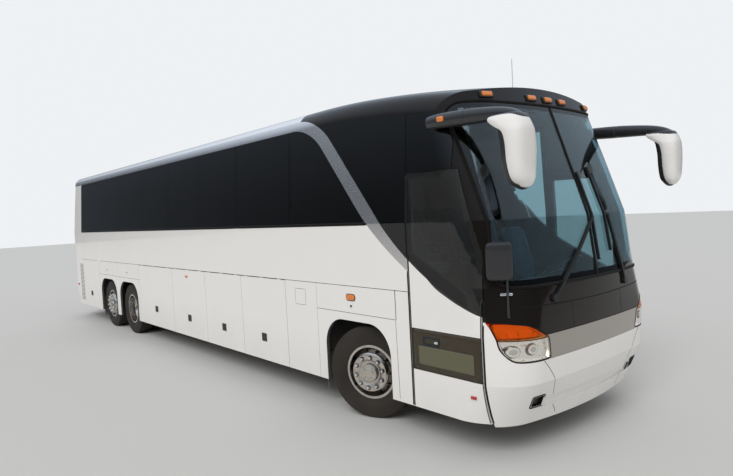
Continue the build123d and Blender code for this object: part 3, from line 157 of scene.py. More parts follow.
forward = Vector((-np.sin(AZIMUTH) * np.cos(PITCH), np.cos(AZIMUTH) * np.cos(PITCH), np.sin(PITCH)))
level = Vector((np.cos(AZIMUTH), np.sin(AZIMUTH), 0))
upright = level.cross(forward)
right = np.cos(ROLL) * level + np.sin(ROLL) * upright
up = np.cos(ROLL) * upright - np.sin(ROLL) * level
camera = bpy.data.cameras.new("camera")
camera.lens = LENS_MM
camera.sensor_width = SENSOR_MM
camera.sensor_fit = "HORIZONTAL"
camera.clip_end = FAR
camera_object = put_object("camera", camera)
camera_object.matrix_world = (Matrix.Translation(CAMERA_PLACE)
                              @ Matrix((right, up, -forward)).transposed().to_4x4())
bpy.context.scene.camera = camera_object
bpy.context.scene.view_settings.view_transform = "Standard"

# Painted body: white sheet and moulded panels on the sides, doors, tail and bumpers, in gloss
# lacquer over a faint ripple, with road dust low down. The bottoms of pressed seams, louvres and tow
# pockets carry painted shade, and the side walls turn black behind the glass and inside.
WHITE = (0.80, 0.785, 0.765, 1)
DUST = (0.46, 0.43, 0.39, 1)
LINING = (0.07, 0.07, 0.075, 1)
# The post black also serves as painted shade inside the bumper's tow pockets.
POST_BLACK_AND_POCKET_SHADE = (0.012, 0.012, 0.013, 1)
# The groove colour is painted shade at the bottom of pressed seams and louvres.
GROOVE_SHADE = (0.10, 0.10, 0.10, 1)
HALF_WIDTH = 1.2955
TAIL_X = -6.971
GROOVE = 0.004
BELT_Z = 2.148
GLASS_REAR_X = -6.141
TOW_MIDDLE = (0.88, 0.515)
TOW_HALF = (0.066, 0.046)
MIDDLE_LOW, MIDDLE_HIGH = (-6.7, -0.1, 0.3), (6.0, 0.1, 3.28)
STRIP_LINE = [(4.85, 2.25), (5.065, 2.08), (5.312, 1.855), (5.467, 1.80), (5.657, 1.662), (5.80, 1.536),
              (5.953, 1.451), (6.131, 1.373), (6.35, 1.300)]
CURVE_TOP = 3
sides = {"left": 1, "right": -1}
luggage_doors = [f"{name}_luggage_door_{index}" for name in sides for index in (1, 2, 3, 4)]


def spot(tree, stretch=None):
    """The point's place on its object, stretched along the axes where asked."""
    place = add_node(tree, "ShaderNodeTexCoord").outputs["Object"]
    return math(tree, "MULTIPLY", place, stretch, vector=True) if stretch else place


def axes(tree):
    """The x, y and z of the point's place."""
    return tuple(add_node(tree, "ShaderNodeSeparateXYZ", Vector=spot(tree)).outputs)


def noise(tree, scale, detail, roughness=0.5, stretch=None):
    """Cloudy noise over the object."""
    return add_node(tree, "ShaderNodeTexNoise", Scale=scale, Detail=detail, Roughness=roughness,
                    Vector=spot(tree, stretch)).outputs["Fac"]


def bumped(tree, height, distance, strength=1.0):
    """The normal of a surface pushed out by height."""
    return add_node(tree, "ShaderNodeBump", Strength=strength, Distance=distance, Height=height).outputs[0]


def new_group(name, inputs, output, kind):
    """An empty node group, with named and preset inputs and one output."""
    group = bpy.data.node_groups.new(name, "ShaderNodeTree")
    for label, socket_type, value in inputs:
        group.interface.new_socket(label, in_out="INPUT", socket_type=socket_type).default_value = value
    group.interface.new_socket(output, in_out="OUTPUT", socket_type=kind)
    return group, group.nodes.new("NodeGroupInput").outputs, group.nodes.new("NodeGroupOutput").inputs[0]


def use_group(tree, group, **values):
    """One use of a node group; gives its output socket."""
    node = add_node(tree, "ShaderNodeGroup", node_tree=group)
    for label, value in values.items():
        feed(tree, value, node.inputs[label])
    return node.outputs[0]


# The outward mask is 1 where a face looks away from the nearest point of the body's straight
# middle and 0 where it looks into the cabin.
outward_mask, _, mask_out = new_group("outward mask", [], "Mask", "NodeSocketFloat")
place = spot(outward_mask)
middle = math(outward_mask, "MAXIMUM", place, MIDDLE_LOW, vector=True)
middle = math(outward_mask, "MINIMUM", middle, MIDDLE_HIGH, vector=True)
away = math(outward_mask, "MULTIPLY", math(outward_mask, "SUBTRACT", place, middle, vector=True), (8, 1, 8),
            vector=True)
normal = add_node(outward_mask, "ShaderNodeNewGeometry").outputs["True Normal"]
facing = math(outward_mask, "DOT_PRODUCT", away, normal, vector=True)
feed(outward_mask, math(outward_mask, "GREATER_THAN", facing, -0.05), mask_out)

# Road dust thins out with height and breaks up into streaks.
road_dust, dust_in, dust_out = new_group(
    "road dust", [("Clean", "NodeSocketColor", WHITE), ("Top", "NodeSocketFloat", 0.9),
                  ("Amount", "NodeSocketFloat", 0.35)], "Color", "NodeSocketColor")
thinning = ramp(road_dust, axes(road_dust)[2], 1.0, 0.0, 0.25, dust_in["Top"])
streaks = math(road_dust, "MULTIPLY", thinning, noise(road_dust, 2.2, 5.0, 0.6, (1.0, 1.0, 0.35)))
share = math(road_dust, "MULTIPLY", streaks, dust_in["Amount"])
feed(road_dust, layered(road_dust, dust_in["Clean"], (share, DUST)), dust_out)

# Panel ripple: long shallow waves in the sheet and the fine grain of sprayed lacquer.
panel_ripple, _, ripple_out = new_group("panel ripple", [], "Height", "NodeSocketFloat")
grain = math(panel_ripple, "MULTIPLY", noise(panel_ripple, 220.0, 2.0), 0.004)
feed(panel_ripple, math(panel_ripple, "ADD", noise(panel_ripple, 1.3, 1.0), grain), ripple_out)


def lacquer(name, colour, inside=None, dust_top=0.9, dust=0.35, rough=0.22, metallic=0.0, ripple=0.01,
            coat=0.7, shine=0.5, over=None):
    """Paint with dust low down outside and a plain lining inside. over lays more coats on it."""
    material, tree = shader(name, Roughness=rough, Metallic=metallic, Coat_Weight=coat, Coat_Roughness=0.04,
                            Specular_IOR_Level=shine)
    paint = use_group(tree, road_dust, Clean=colour, Top=dust_top, Amount=dust)
    if over:
        paint = over(tree, paint, *axes(tree))
    finish(tree, Base_Color=layered(tree, inside or colour, (use_group(tree, outward_mask), paint)),
           Normal=bumped(tree, use_group(tree, panel_ripple), ripple))
    return material


def dress(material, *names):
    """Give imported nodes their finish."""
    for name in names:
        nodes[name].data.materials.clear()
        nodes[name].data.materials.append(material)


def off(tree, value, middle):
    """How far a value lies from a middle."""
    return math(tree, "ABSOLUTE", math(tree, "SUBTRACT", value, middle))


def painted_groove_shade(tree, paint, x, y, z):
    """Seams and louvres pressed into the straight sides get painted shade at their bottom."""
    return layered(tree, paint, (math(tree, "LESS_THAN", off(tree, y, 0), HALF_WIDTH - GROOVE), GROOVE_SHADE))


def painted_lid_louvre_shade(tree, paint, x, y, z):
    """The louvres of the engine lid get painted shade at their bottom."""
    return layered(tree, paint, (math(tree, "GREATER_THAN", x, TAIL_X + GROOVE), GROOVE_SHADE))


def painted_tow_pocket_shade(tree, paint, x, y, z):
    """The two tow pockets in the bumper are painted black inside as shade."""
    wide = math(tree, "LESS_THAN", off(tree, off(tree, y, 0), TOW_MIDDLE[0]), TOW_HALF[0])
    high = math(tree, "LESS_THAN", off(tree, z, TOW_MIDDLE[1]), TOW_HALF[1])
    return layered(tree, paint, (math(tree, "MULTIPLY", wide, high), POST_BLACK_AND_POCKET_SHADE))


def black_posts(tree, paint, x, y, z):
    """Above the belt and above the metal strip's sweep the wall is a black window frame."""
    first, last = STRIP_LINE[0][0], STRIP_LINE[-1][0]
    line = add_node(tree, "ShaderNodeFloatCurve", Value=ramp(tree, x, 0.0, 1.0, first, last))
    curve = line.mapping.curves[0]
    curve.points[0].location = (0, STRIP_LINE[0][1] / CURVE_TOP)
    curve.points[1].location = (1, STRIP_LINE[-1][1] / CURVE_TOP)
    for place_x, place_z in STRIP_LINE[1:-1]:
        curve.points.new((place_x - first) / (last - first), place_z / CURVE_TOP)
    line.mapping.update()
    top = math(tree, "MINIMUM", math(tree, "MULTIPLY", line.outputs[0], CURVE_TOP), BELT_Z)
    beside_glass = math(tree, "GREATER_THAN", x, GLASS_REAR_X)
    above = math(tree, "MULTIPLY", math(tree, "GREATER_THAN", z, top), beside_glass)
    return layered(tree, paint, (above, POST_BLACK_AND_POCKET_SHADE))


# The bumper's tow pockets are painted black inside as shade.
dress(lacquer("white bumper", WHITE, LINING, over=painted_tow_pocket_shade), "front_bumper")
dress(lacquer("white lacquer", WHITE, LINING), "tail_wall", "tail_bumper", *luggage_doors)
# The skirts carry painted shade in the bottoms of their louvres and seams.
dress(lacquer("white lacquer and painted louvre shade", WHITE, LINING, over=painted_groove_shade),
      "left_skirt", "right_skirt")
# The engine lid carries painted shade in the bottoms of its louvres.
dress(lacquer("white engine lid", WHITE, LINING, over=painted_lid_louvre_shade), "engine_lid")
dress(lacquer("white lacquer and black posts", WHITE, POST_BLACK_AND_POCKET_SHADE, over=black_posts),
      "left_side_wall", "right_side_wall", "entry_door")

# Roof, cap and mask: pale silver sheet behind, gloss black mouldings in front, a champagne
# band between the headlamps.
SILVER = (0.70, 0.73, 0.77, 1)
BLACK = (0.0085, 0.0065, 0.0055, 1)
BAND = (0.36, 0.33, 0.295, 1)
dress(lacquer("silver lacquer", SILVER, LINING, dust=0, metallic=0.25, rough=0.3), "roof", "roof_fittings")
dress(lacquer("black lacquer", BLACK, LINING, dust_top=1.6, dust=0.04, rough=0.08, ripple=0.004, coat=0.08,
              shine=0.22), "front_cap", "front_mask")
dress(lacquer("champagne lacquer", BAND, LINING, dust=0.1, metallic=0.5, rough=0.32, ripple=0.004),
      "front_band")

# Metal strip: an extruded aluminium moulding, polished and lightly brushed, that is screwed along
# the eaves and sweeps down behind the entry door.
ALUMINIUM = (0.74, 0.72, 0.71, 1)
BRUSHING = (3, 60, 60)
strip_metal, tree = shader("brushed strip", Metallic=1.0, Base_Color=ALUMINIUM)
finish(tree, Roughness=ramp(tree, noise(tree, 8.0, 4.0, stretch=BRUSHING), 0.16, 0.34))
dress(strip_metal, "eave_strips")

# Glass: laminated sheet with a faint waviness, tinted beside and behind the passengers and clear
# at the front, bonded into the body behind black printed borders.
TINTED = (0.02, 0.018, 0.016, 1)
CLEAR_SIDE = (0.42, 0.55, 0.56, 1)
DOOR_TINT = (0.30, 0.30, 0.26, 1)
SCREEN_TINT = (0.42, 0.62, 0.70, 1)
PRINT_BLACK = (0.004, 0.004, 0.004, 1)
PRINT_BROWN = (0.055, 0.042, 0.028, 1)
SCREEN_LOW_Z, SCREEN_HIGH_Z = 1.615, 3.185
BORDER_Y, BORDER_SLOPE = 1.27, 0.045
DRIVER_WINDOW_X = 4.95
DOOR_PANE_TOP_Z = 1.13


def shade(colour, share):
    """A darker tone of a colour."""
    return tuple(part * share for part in colour[:3]) + (1,)


def glazing(name, colour, reflect, over=None):
    """Clear or tinted sheet glass with a faint waviness in its reflections; over prints on it."""
    material, tree = shader(name, Roughness=0.0, Transmission_Weight=1.0, IOR=1.5, Specular_IOR_Level=reflect)
    waves = noise(tree, 1.6, 1.0)
    tint = layered(tree, colour, (waves, shade(colour, 0.93)))
    if over:
        tint = over(tree, tint, *axes(tree))
    finish(tree, Base_Color=tint, Normal=bumped(tree, waves, 0.006, 0.4))
    return material


def screen_border(tree, tint, x, y, z):
    """The windscreen's black printed border: wider at the sides towards the top."""
    edge = math(tree, "SUBTRACT", BORDER_Y, math(tree, "MULTIPLY", z, BORDER_SLOPE))
    border = math(tree, "GREATER_THAN", off(tree, y, 0), edge)
    for operation, height in (("LESS_THAN", SCREEN_LOW_Z), ("GREATER_THAN", SCREEN_HIGH_Z)):
        border = math(tree, "MAXIMUM", border, math(tree, operation, z, height))
    return layered(tree, tint, (border, PRINT_BLACK))


def clear_driver_window(tree, tint, x, y, z):
    """The driver's own window on the left is clear where the passengers' are tinted."""
    ahead = math(tree, "GREATER_THAN", x, DRIVER_WINDOW_X)
    own = math(tree, "MULTIPLY", ahead, math(tree, "GREATER_THAN", y, 0))
    return layered(tree, tint, (own, CLEAR_SIDE))


def lower_pane(tree, tint, x, y, z):
    """The door's lower pane is printed brown."""
    return layered(tree, tint, (math(tree, "LESS_THAN", z, DOOR_PANE_TOP_Z), PRINT_BROWN))


dress(glazing("tinted glass", TINTED, 0.2, clear_driver_window), "side_glass")
dress(glazing("tail glass", TINTED, 0.2), "tail_window")
dress(glazing("door glass", DOOR_TINT, 0.3, lower_pane), "entry_door_glass")
dress(glazing("windscreen glass", SCREEN_TINT, 0.5, screen_border), "windscreen")

# Running gear and frame: pressed and forged steel under black chassis paint, bolted below the
# floor, with a cast iron engine block in the tail.
STEEL = (0.03, 0.03, 0.033, 1)
IRON = (0.11, 0.11, 0.115, 1)
dress(lacquer("chassis paint", STEEL, dust_top=1.2, dust=0.7, rough=0.5, coat=0), "underframe", "front_frame")
dress(lacquer("cast iron", IRON, dust_top=1.2, dust=0.6, rough=0.6, coat=0), "front_axle", "drive_axle",
      "tag_axle", "left_knuckle", "right_knuckle", "track_rod", "engine", "door_column")

# Cabin: a floor under a glued vinyl cover, and a dashboard and steering wheel moulded in dark
# plastic.
COVER = (0.16, 0.155, 0.145, 1)
DASH = (0.045, 0.045, 0.05, 1)
dress(lacquer("cabin floor cover", COVER, dust=0, rough=0.7, coat=0), "cabin_floor")
dress(lacquer("dashboard plastic", DASH, dust=0, rough=0.55, coat=0), "dashboard", "steering_wheel")

# Wheels: steel-belted tubeless tyres on polished forged discs. Each tyre's tread has four
# grooves round it and notched shoulders; each disc carries ten capped nuts on a pale ring and a
# bright hub cover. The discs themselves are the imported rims.
AXLE_X = {"front": 4.593, "drive": -2.890, "tag": -4.210}
TYRE_CENTRES = {"front": (1.1025,), "drive": (1.1025, 0.7725), "tag": (1.1025,)}
DISC_FACE = {"front": 1.2595, "drive": 0.9525, "tag": 1.2595}
HUB_FACE = {"front": 1.2595, "drive": 1.0655, "tag": 1.2595}
HUB_HEIGHT = 0.515
KINGPIN = 0.9
STEER = np.radians(21)
TREAD_PITCHES, NOTCH_SHARE, NOTCH_DEPTH = 60, 0.55, 0.007
NOTCH_FROM, NOTCH_TO, TREAD_RADIUS = 0.086, 0.1275, 0.47
LOBE_COUNT, LOBE_DEPTH, LOBE_FROM, LOBE_TO = 8, 0.006, 0.056, 0.083
TYRE_STEPS, HUB_STEPS, RING_STEPS, NUT_STEPS = 360, 128, 96, 20
NUT_RING = 0.1675
NUTS = 10
NUT_ANGLES = np.arange(NUTS) * 2 * np.pi / NUTS + 0.2
GRIME = (0.10, 0.085, 0.07, 1)
# Columns: distance outward from the tyre's middle, radius. The tread half, with its grooves.
TREAD_HALF = np.array([
    (0, 0.5148), (0.016, 0.5148), (0.0175, 0.501), (0.0245, 0.501), (0.026, 0.5146), (0.058, 0.5142),
    (0.0595, 0.501), (0.0665, 0.501), (0.068, 0.514), (0.088, 0.5134), (0.104, 0.5122), (0.115, 0.5088),
    (0.1225, 0.503), (0.1262, 0.493), (0.129, 0.476), (0.1345, 0.455), (0.14, 0.43), (0.144, 0.401),
    (0.144, 0.376), (0.141, 0.356), (0.138, 0.348), (0.1375, 0.34), (0.133, 0.326), (0.13, 0.312),
    (0.128, 0.306), (0.121, 0.302), (0.113, 0.3), (0.112, 0.2852)])
# Columns: distance outward from the face that carries the part, radius.
HUB_COVER = np.array([
    (0.0295, 0.1), (0.032, 0.099), (0.033, 0.095), (0.03, 0.091), (0.0305, 0.087), (0.0305, 0.082),
    (0.034, 0.08), (0.0345, 0.074), (0.0345, 0.066), (0.034, 0.061), (0.031, 0.059), (0.031, 0.055),
    (0.0345, 0.053), (0.0352, 0.048), (0.0352, 0.025), (0.0352, 0.0008)])
NUT_PLATE = np.array([(-0.002, 0.205), (0.0012, 0.205), (0.002, 0.2035), (0.002, 0.13), (-0.002, 0.1285)])
WASHER = np.array([(0, 0.0262), (0.0036, 0.0262), (0.0042, 0.0252), (0.0042, 0.015)])
NUT_CAP = np.array([(0, 0.0195), (0.003, 0.0195), (0.0045, 0.0168), (0.023, 0.016), (0.029, 0.0135),
                    (0.0325, 0.0085), (0.0335, 0.0006)])


def grid_mesh(points, material, wrap=(True, True), flip=False):
    """A surface through a grid of points; wrap joins its first and last rows or columns."""
    rows, columns = points.shape[:2]
    index = np.arange(rows * columns).reshape(rows, columns)
    down, across = np.roll(index, -1, axis=0), np.roll(index, -1, axis=1)
    faces = np.stack([index, down, np.roll(down, -1, axis=1), across], axis=-1)
    faces = faces[: rows if wrap[0] else rows - 1, : columns if wrap[1] else columns - 1].reshape(-1, 4)
    return solid(points.reshape(-1, 3), (faces[:, ::-1] if flip else faces).tolist(), material)


def solid(points, faces, material):
    """A smooth-shaded object from points and faces."""
    mesh = bpy.data.meshes.new("surface")
    mesh.from_pydata(points.tolist(), [], faces)
    mesh.polygons.foreach_set("use_smooth", np.full(len(faces), True))
    mesh.materials.append(material)
    mesh.update()
    return put_object("surface", mesh)


def finish_piece(name, objects, slot, body, *stands_for):
    """Join the parts of one piece, say what it rides on and stands for; slot is not used."""
    piece = objects[0]
    if len(objects) > 1:
        with bpy.context.temp_override(active_object=piece, selected_editable_objects=objects):
            bpy.ops.object.join()
    piece.name = name
    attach(piece, body)
    if stands_for:
        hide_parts(*stands_for)
    return piece


def at_wheel(points, axle, side):
    """Points drawn as (forward, outward, up) about the axle's middle, put in place and steered."""
    x, y, up = points[..., 0], side * points[..., 1], points[..., 2]
    if axle == "front":
        past_pin = y - side * KINGPIN
        x, y = (x * np.cos(STEER) - past_pin * np.sin(STEER),
                x * np.sin(STEER) + past_pin * np.cos(STEER) + side * KINGPIN)
    return np.stack([x + AXLE_X[axle], y, up + HUB_HEIGHT], axis=-1)


def turn_profile(profile, steps, ripple=None):
    """A profile of (outward, radius) carried round the axle; ripple moves it by angle and row."""
    angles = np.linspace(0, 2 * np.pi, steps, endpoint=False)
    outward, radius = (np.repeat(column[:, None], steps, axis=1) for column in profile.T)
    if ripple:
        push_out, push_round = ripple(outward, radius, angles)
        outward, radius = outward + push_out, radius + push_round
    return np.stack([radius * np.cos(angles), outward, radius * np.sin(angles)], axis=-1)


def shoulder_notches(outward, radius, angles):
    """Notches cut across the tread's shoulders, one each pitch, where a cosine of the angle is high."""
    reach = np.abs(outward - outward.mean())
    pulse = np.cos(angles * TREAD_PITCHES) > NOTCH_SHARE
    shoulder = np.clip((reach - NOTCH_FROM) / 0.016, 0, 1) * np.clip((NOTCH_TO - reach) / 0.006, 0, 1)
    return 0 * outward, -NOTCH_DEPTH * pulse * shoulder * (radius > TREAD_RADIUS)


def lobes(outward, radius, angles):
    """Shallow lobes round the hub cover's middle ring, sunk where a cosine of the angle is negative."""
    ring = np.clip((radius - LOBE_FROM) / 0.006, 0, 1) * np.clip((LOBE_TO - radius) / 0.006, 0, 1)
    return -LOBE_DEPTH * ring * (0.5 - 0.5 * np.sign(np.cos(LOBE_COUNT * angles))), 0 * radius


def polished(name, colour, rough_low, rough_high, grime=0.35):
    """Bright bare metal with cloudy polish and brake dust lying in patches."""
    material, tree = shader(name, Metallic=1.0)
    clouds = noise(tree, 9.0, 5.0, 0.65)
    finish(tree, Roughness=ramp(tree, clouds, rough_low, rough_high, 0.35, 0.7),
           Base_Color=layered(tree, colour, (ramp(tree, clouds, 0.0, grime, 0.45, 0.8), GRIME)))
    return material


def clouded(name, colour, other, scale, detail, **values):
    """A plain material whose colour drifts between two tones."""
    material, tree = shader(name, **values)
    finish(tree, Base_Color=layered(tree, colour, (noise(tree, scale, detail), other)))
    return material


rubber = clouded("tyre rubber", (0.012, 0.010, 0.009, 1), (0.042, 0.034, 0.027, 1), 3.0, 4.0,
                 Roughness=0.62, Specular_IOR_Level=0.35)
tree = rubber.node_tree
finish(tree, Normal=bumped(tree, noise(tree, 160.0, 3.0), 0.002, 0.6))
wheel_metal = polished("polished wheel", (0.60, 0.56, 0.52, 1), 0.14, 0.32, 0.5)
nut_metal = polished("bright nut caps", (0.93, 0.92, 0.90, 1), 0.06, 0.14, 0.15)
hub_metal = polished("hub cover", (0.62, 0.56, 0.49, 1), 0.2, 0.4)
ring_metal = polished("nut ring", (0.72, 0.65, 0.57, 1), 0.35, 0.5)
# The washers are near black partly as their own colour and partly as painted shade at the foot of each nut
# cap.
washer_shade_black = clouded("washer", (0.02, 0.018, 0.016, 1), (0.07, 0.055, 0.045, 1), 60.0, 3.0, Roughness=0.5,
                       Metallic=0.6)
dress(wheel_metal, *[f"{axle}_{side}_rim" for axle in AXLE_X for side in sides])


def turned(profile, face, steps, material, axle, side, ripple=None, angle=None):
    """A part turned round the axle, or round the nut that stands at an angle on the nut ring."""
    points = turn_profile(profile + (face, 0), steps, ripple)
    if angle is not None:
        points = points + (NUT_RING * np.cos(angle), 0, NUT_RING * np.sin(angle))
    return grid_mesh(at_wheel(points, axle, side), material, wrap=(False, True), flip=side > 0)


for axle in AXLE_X:
    for name, side in sides.items():
        wheel, body = f"{axle}_{name}", f"{axle}_{name}_wheel"
        tread = np.concatenate([TREAD_HALF[::-1], TREAD_HALF[1:] * (-1, 1)])
        tyres = []
        for centre in TYRE_CENTRES[axle]:
            points = turn_profile(tread + (centre, 0), TYRE_STEPS, shoulder_notches)
            tyres.append(grid_mesh(at_wheel(points, axle, side), rubber, flip=side < 0))
        finish_piece(f"{wheel}_road_tyre", tyres, "tyre_rubber", body, f"{wheel}_tyre")
        disc, hub = DISC_FACE[axle], HUB_FACE[axle]
        cover = turned(HUB_COVER, hub, HUB_STEPS, hub_metal, axle, side, lobes)
        finish_piece(f"{wheel}_hub_cover", [cover], "wheel_alloy", body)
        ring = turned(NUT_PLATE, disc, RING_STEPS, ring_metal, axle, side)
        finish_piece(f"{wheel}_nut_ring", [ring], "wheel_alloy", body)
        # The dark washers carry painted shade round the foot of each nut cap.
        for part, profile, metal, slot in (("nut_caps", NUT_CAP, nut_metal, "wheel_alloy"),
                                           ("washers", WASHER, washer_shade_black, "forged_steel")):
            parts = [turned(profile, disc, NUT_STEPS, metal, axle, side, angle=angle) for angle in NUT_ANGLES]
            finish_piece(f"{wheel}_{part}", parts, slot, body)

# Wipers: pressed steel arms and rubber blades under black powder coat, on two pivots below the
# windscreen.
WIPER_BLACK = (0.010, 0.010, 0.011, 1)
dress(lacquer("wiper black", WIPER_BLACK, dust=0, rough=0.4, coat=0), "wipers")

# Lamps: moulded lenses over bright bowls. Front lenses are amber above, clear below and red along
# their top edge; marker lamps are amber; tail lamps are stacked red, amber and clear.
LENS_SPLIT_Z, LENS_TOP_Z, LENS_LINE = 1.102, 1.245, 0.004
EYES = ((0, 1.155, 1.003), (0, 1.005, 1.015))
EYE_RIM, EYE_LENS = (0.043, 0.056), 0.027
TAIL_AMBER_Z, TAIL_CLEAR_Z = 1.53, 1.19
LENS_CLEAR = (0.97, 0.97, 0.96, 1)
LENS_AMBER = (0.86, 0.30, 0.06, 1)
LENS_RED = (0.55, 0.03, 0.02, 1)
LENS_DARK = (0.05, 0.05, 0.05, 1)
BOWL_BRIGHT = (0.94, 0.91, 0.86, 1)
BOWL_FACET = (0.72, 0.63, 0.55, 1)
EYE_DARK = (0.30, 0.28, 0.26, 1)
EYE_PALE = (0.66, 0.64, 0.62, 1)
AMBER = (0.85, 0.25, 0.03, 1)
RED = (0.55, 0.02, 0.02, 1)
TAIL_CLEAR = (0.80, 0.80, 0.79, 1)


def ribbed(tree, scale, stretch, where=1.0):
    """Moulded ribs of a lamp lens, as a bump; where is the mask that shows them."""
    ribs = add_node(tree, "ShaderNodeTexWave", Scale=scale, Vector=spot(tree, stretch)).outputs["Fac"]
    return bumped(tree, math(tree, "MULTIPLY", ribs, where), 0.004, 0.5)


lens, tree = shader("headlamp lens", IOR=1.3, Transmission_Weight=1.0)
z = axes(tree)[2]
amber_zone = math(tree, "GREATER_THAN", z, LENS_SPLIT_Z)
split_line = math(tree, "LESS_THAN", off(tree, z, LENS_SPLIT_Z), LENS_LINE)
finish(tree, Roughness=ramp(tree, noise(tree, 12.0, 3.0), 0.0, 0.05),
       Normal=ribbed(tree, 14.0, (0, 1, 0.12), amber_zone),
       Base_Color=layered(tree, LENS_CLEAR, (amber_zone, LENS_AMBER),
                          (math(tree, "GREATER_THAN", z, LENS_TOP_Z), LENS_RED), (split_line, LENS_DARK)))
dress(lens, "headlamps")

bowl, tree = shader("lamp bowl", Metallic=0.85)
x, y, z = axes(tree)
facets = noise(tree, 26.0, 2.0)
flat_place = add_node(tree, "ShaderNodeCombineXYZ", Y=off(tree, y, 0), Z=z).outputs[0]
from_eye = math(tree, "MINIMUM", *[math(tree, "DISTANCE", flat_place, eye, vector=True) for eye in EYES])
eye_rim = math(tree, "MULTIPLY", math(tree, "GREATER_THAN", from_eye, EYE_RIM[0]),
               math(tree, "LESS_THAN", from_eye, EYE_RIM[1]))
finish(tree, Roughness=ramp(tree, facets, 0.06, 0.3),
       Base_Color=layered(tree, BOWL_BRIGHT, (math(tree, "GREATER_THAN", facets, 0.62), BOWL_FACET),
                          (eye_rim, EYE_DARK), (math(tree, "LESS_THAN", from_eye, EYE_LENS), EYE_PALE)))
dress(bowl, "lamp_bowls")


def lamp_glass(name, colour):
    """Coloured moulded lamp lens with ribs and a little cloudiness."""
    glass = clouded(name, colour, shade(colour, 0.6), 30.0, 3.0, Roughness=0.18, Coat_Weight=0.6,
                    Coat_Roughness=0.05)
    finish(glass.node_tree, Normal=ribbed(glass.node_tree, 20.0, (0, 1, 0)))
    return glass


amber_lens = lamp_glass("amber lens", AMBER)
red_lens = lamp_glass("red lens", RED)
dress(amber_lens, "marker_lamps")
tail_lens, tree = shader("tail lamp lens", Roughness=0.16, Coat_Weight=0.6)
z = axes(tree)[2]
finish(tree, Normal=ribbed(tree, 16.0, (0, 1, 0.15)),
       Base_Color=layered(tree, RED, (math(tree, "GREATER_THAN", z, TAIL_AMBER_Z), AMBER),
                          (math(tree, "LESS_THAN", z, TAIL_CLEAR_Z), TAIL_CLEAR)))
dress(tail_lens, "tail_lamps")

# Rubber seals: extruded lips round the windscreen and down its middle, round the headlamps and tow
# pockets, under the side windows and at both ends of the entry door, and the dark joints between
# the moulded parts of the nose and sides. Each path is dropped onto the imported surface.
BELT_FRONT_X = 5.02
DOOR_REAR_X = 5.463
DOOR_FRONT_X = 6.345
SEAM_Z = 1.467
RAY_OFF = 0.004
SAME_LAYER = 0.03
SINK = 0.002
SKIN = ("windscreen", "front_cap", "front_mask", "headlamps", "front_band", "front_bumper", "left_side_wall",
        "right_side_wall", "side_glass", "left_skirt", "right_skirt", "entry_door", "entry_door_glass",
        "tail_wall", "tail_bumper", "tail_window", "engine_lid", "tail_lamps", *luggage_doors)
VIEW_FROM = {"front": ((8, 0, 0), (0, 1, 0)), "rear": ((-8, 0, 0), (0, 1, 0)),
             "left": ((0, 3, 0), (1, 0, 0)), "right": ((0, -3, 0), (1, 0, 0))}
vertices, polygons = [], []
for name in SKIN:
    count = len(vertices)
    vertices += [corner.co for corner in nodes[name].data.vertices]
    polygons += [[index + count for index in polygon.vertices] for polygon in nodes[name].data.polygons]
skin = BVHTree.FromPolygons(vertices, polygons)


def on_skin(across, z, view):
    """The body's point and normal met from one side: the mean of four rays, as some pass a joint."""
    start, along = (Vector(part) for part in VIEW_FROM[view])
    heading = -start.normalized()
    start = start + along * across + Vector((0, 0, z))
    hits = [skin.ray_cast(start + along * shift + Vector((0, 0, rise)), heading)
            for shift in (-RAY_OFF, RAY_OFF) for rise in (-RAY_OFF, RAY_OFF)]
    hits = [(distance, *normal) for place, normal, index, distance in hits if place]
    nearest = min(hit[0] for hit in hits)
    distance, *normal = np.mean([hit for hit in hits if hit[0] < nearest + SAME_LAYER], axis=0)
    return *(start + heading * distance), *normal


def smooth_path(points, step, closed=False):
    """Points at even steps along a smooth curve through the given ones, one cubic for each gap."""
    points = np.array(points, dtype=float)
    before, after = np.roll(points, 1, axis=0), np.roll(points, -1, axis=0)
    if not closed:
        before[0], after[-1] = 2 * points[0] - points[1], 2 * points[-1] - points[-2]
    heading = (after - before) / np.linalg.norm(after - before, axis=1, keepdims=True)
    last = len(points) if closed else len(points) - 1
    t = np.linspace(0, 1, 24, endpoint=False)[None, :, None]
    start, end = points[:last, None], np.roll(points, -1, axis=0)[:last, None]
    reach = np.linalg.norm(end - start, axis=2, keepdims=True)
    leave, arrive = heading[:last, None] * reach, np.roll(heading, -1, axis=0)[:last, None] * reach
    curve = (start * (2 * t**3 - 3 * t**2 + 1) + leave * (t**3 - 2 * t**2 + t)
             + end * (3 * t**2 - 2 * t**3) + arrive * (t**3 - t**2)).reshape(-1, points.shape[1])
    curve = np.concatenate([curve, points[:1] if closed else points[-1:]])
    lengths = np.concatenate([[0], np.cumsum(np.linalg.norm(np.diff(curve, axis=0), axis=1))])
    marks = np.linspace(0, lengths[-1], max(3, int(lengths[-1] / step) + 1))
    curve = np.stack([np.interp(marks, lengths, column) for column in curve.T], axis=1)
    return curve[:-1] if closed else curve


def closed_loft(points, material):
    """A tube through rows of points with both ends closed and its faces turned outwards."""
    obj = grid_mesh(points, material, wrap=(False, True))
    rows, columns = points.shape[:2]
    shape = bmesh.new()
    shape.from_mesh(obj.data)
    shape.verts.ensure_lookup_table()
    for first in (0, (rows - 1) * columns):
        shape.faces.new(shape.verts[first : first + columns])
    bmesh.ops.recalc_face_normals(shape, faces=shape.faces)
    shape.to_mesh(obj.data)
    shape.free()
    return obj


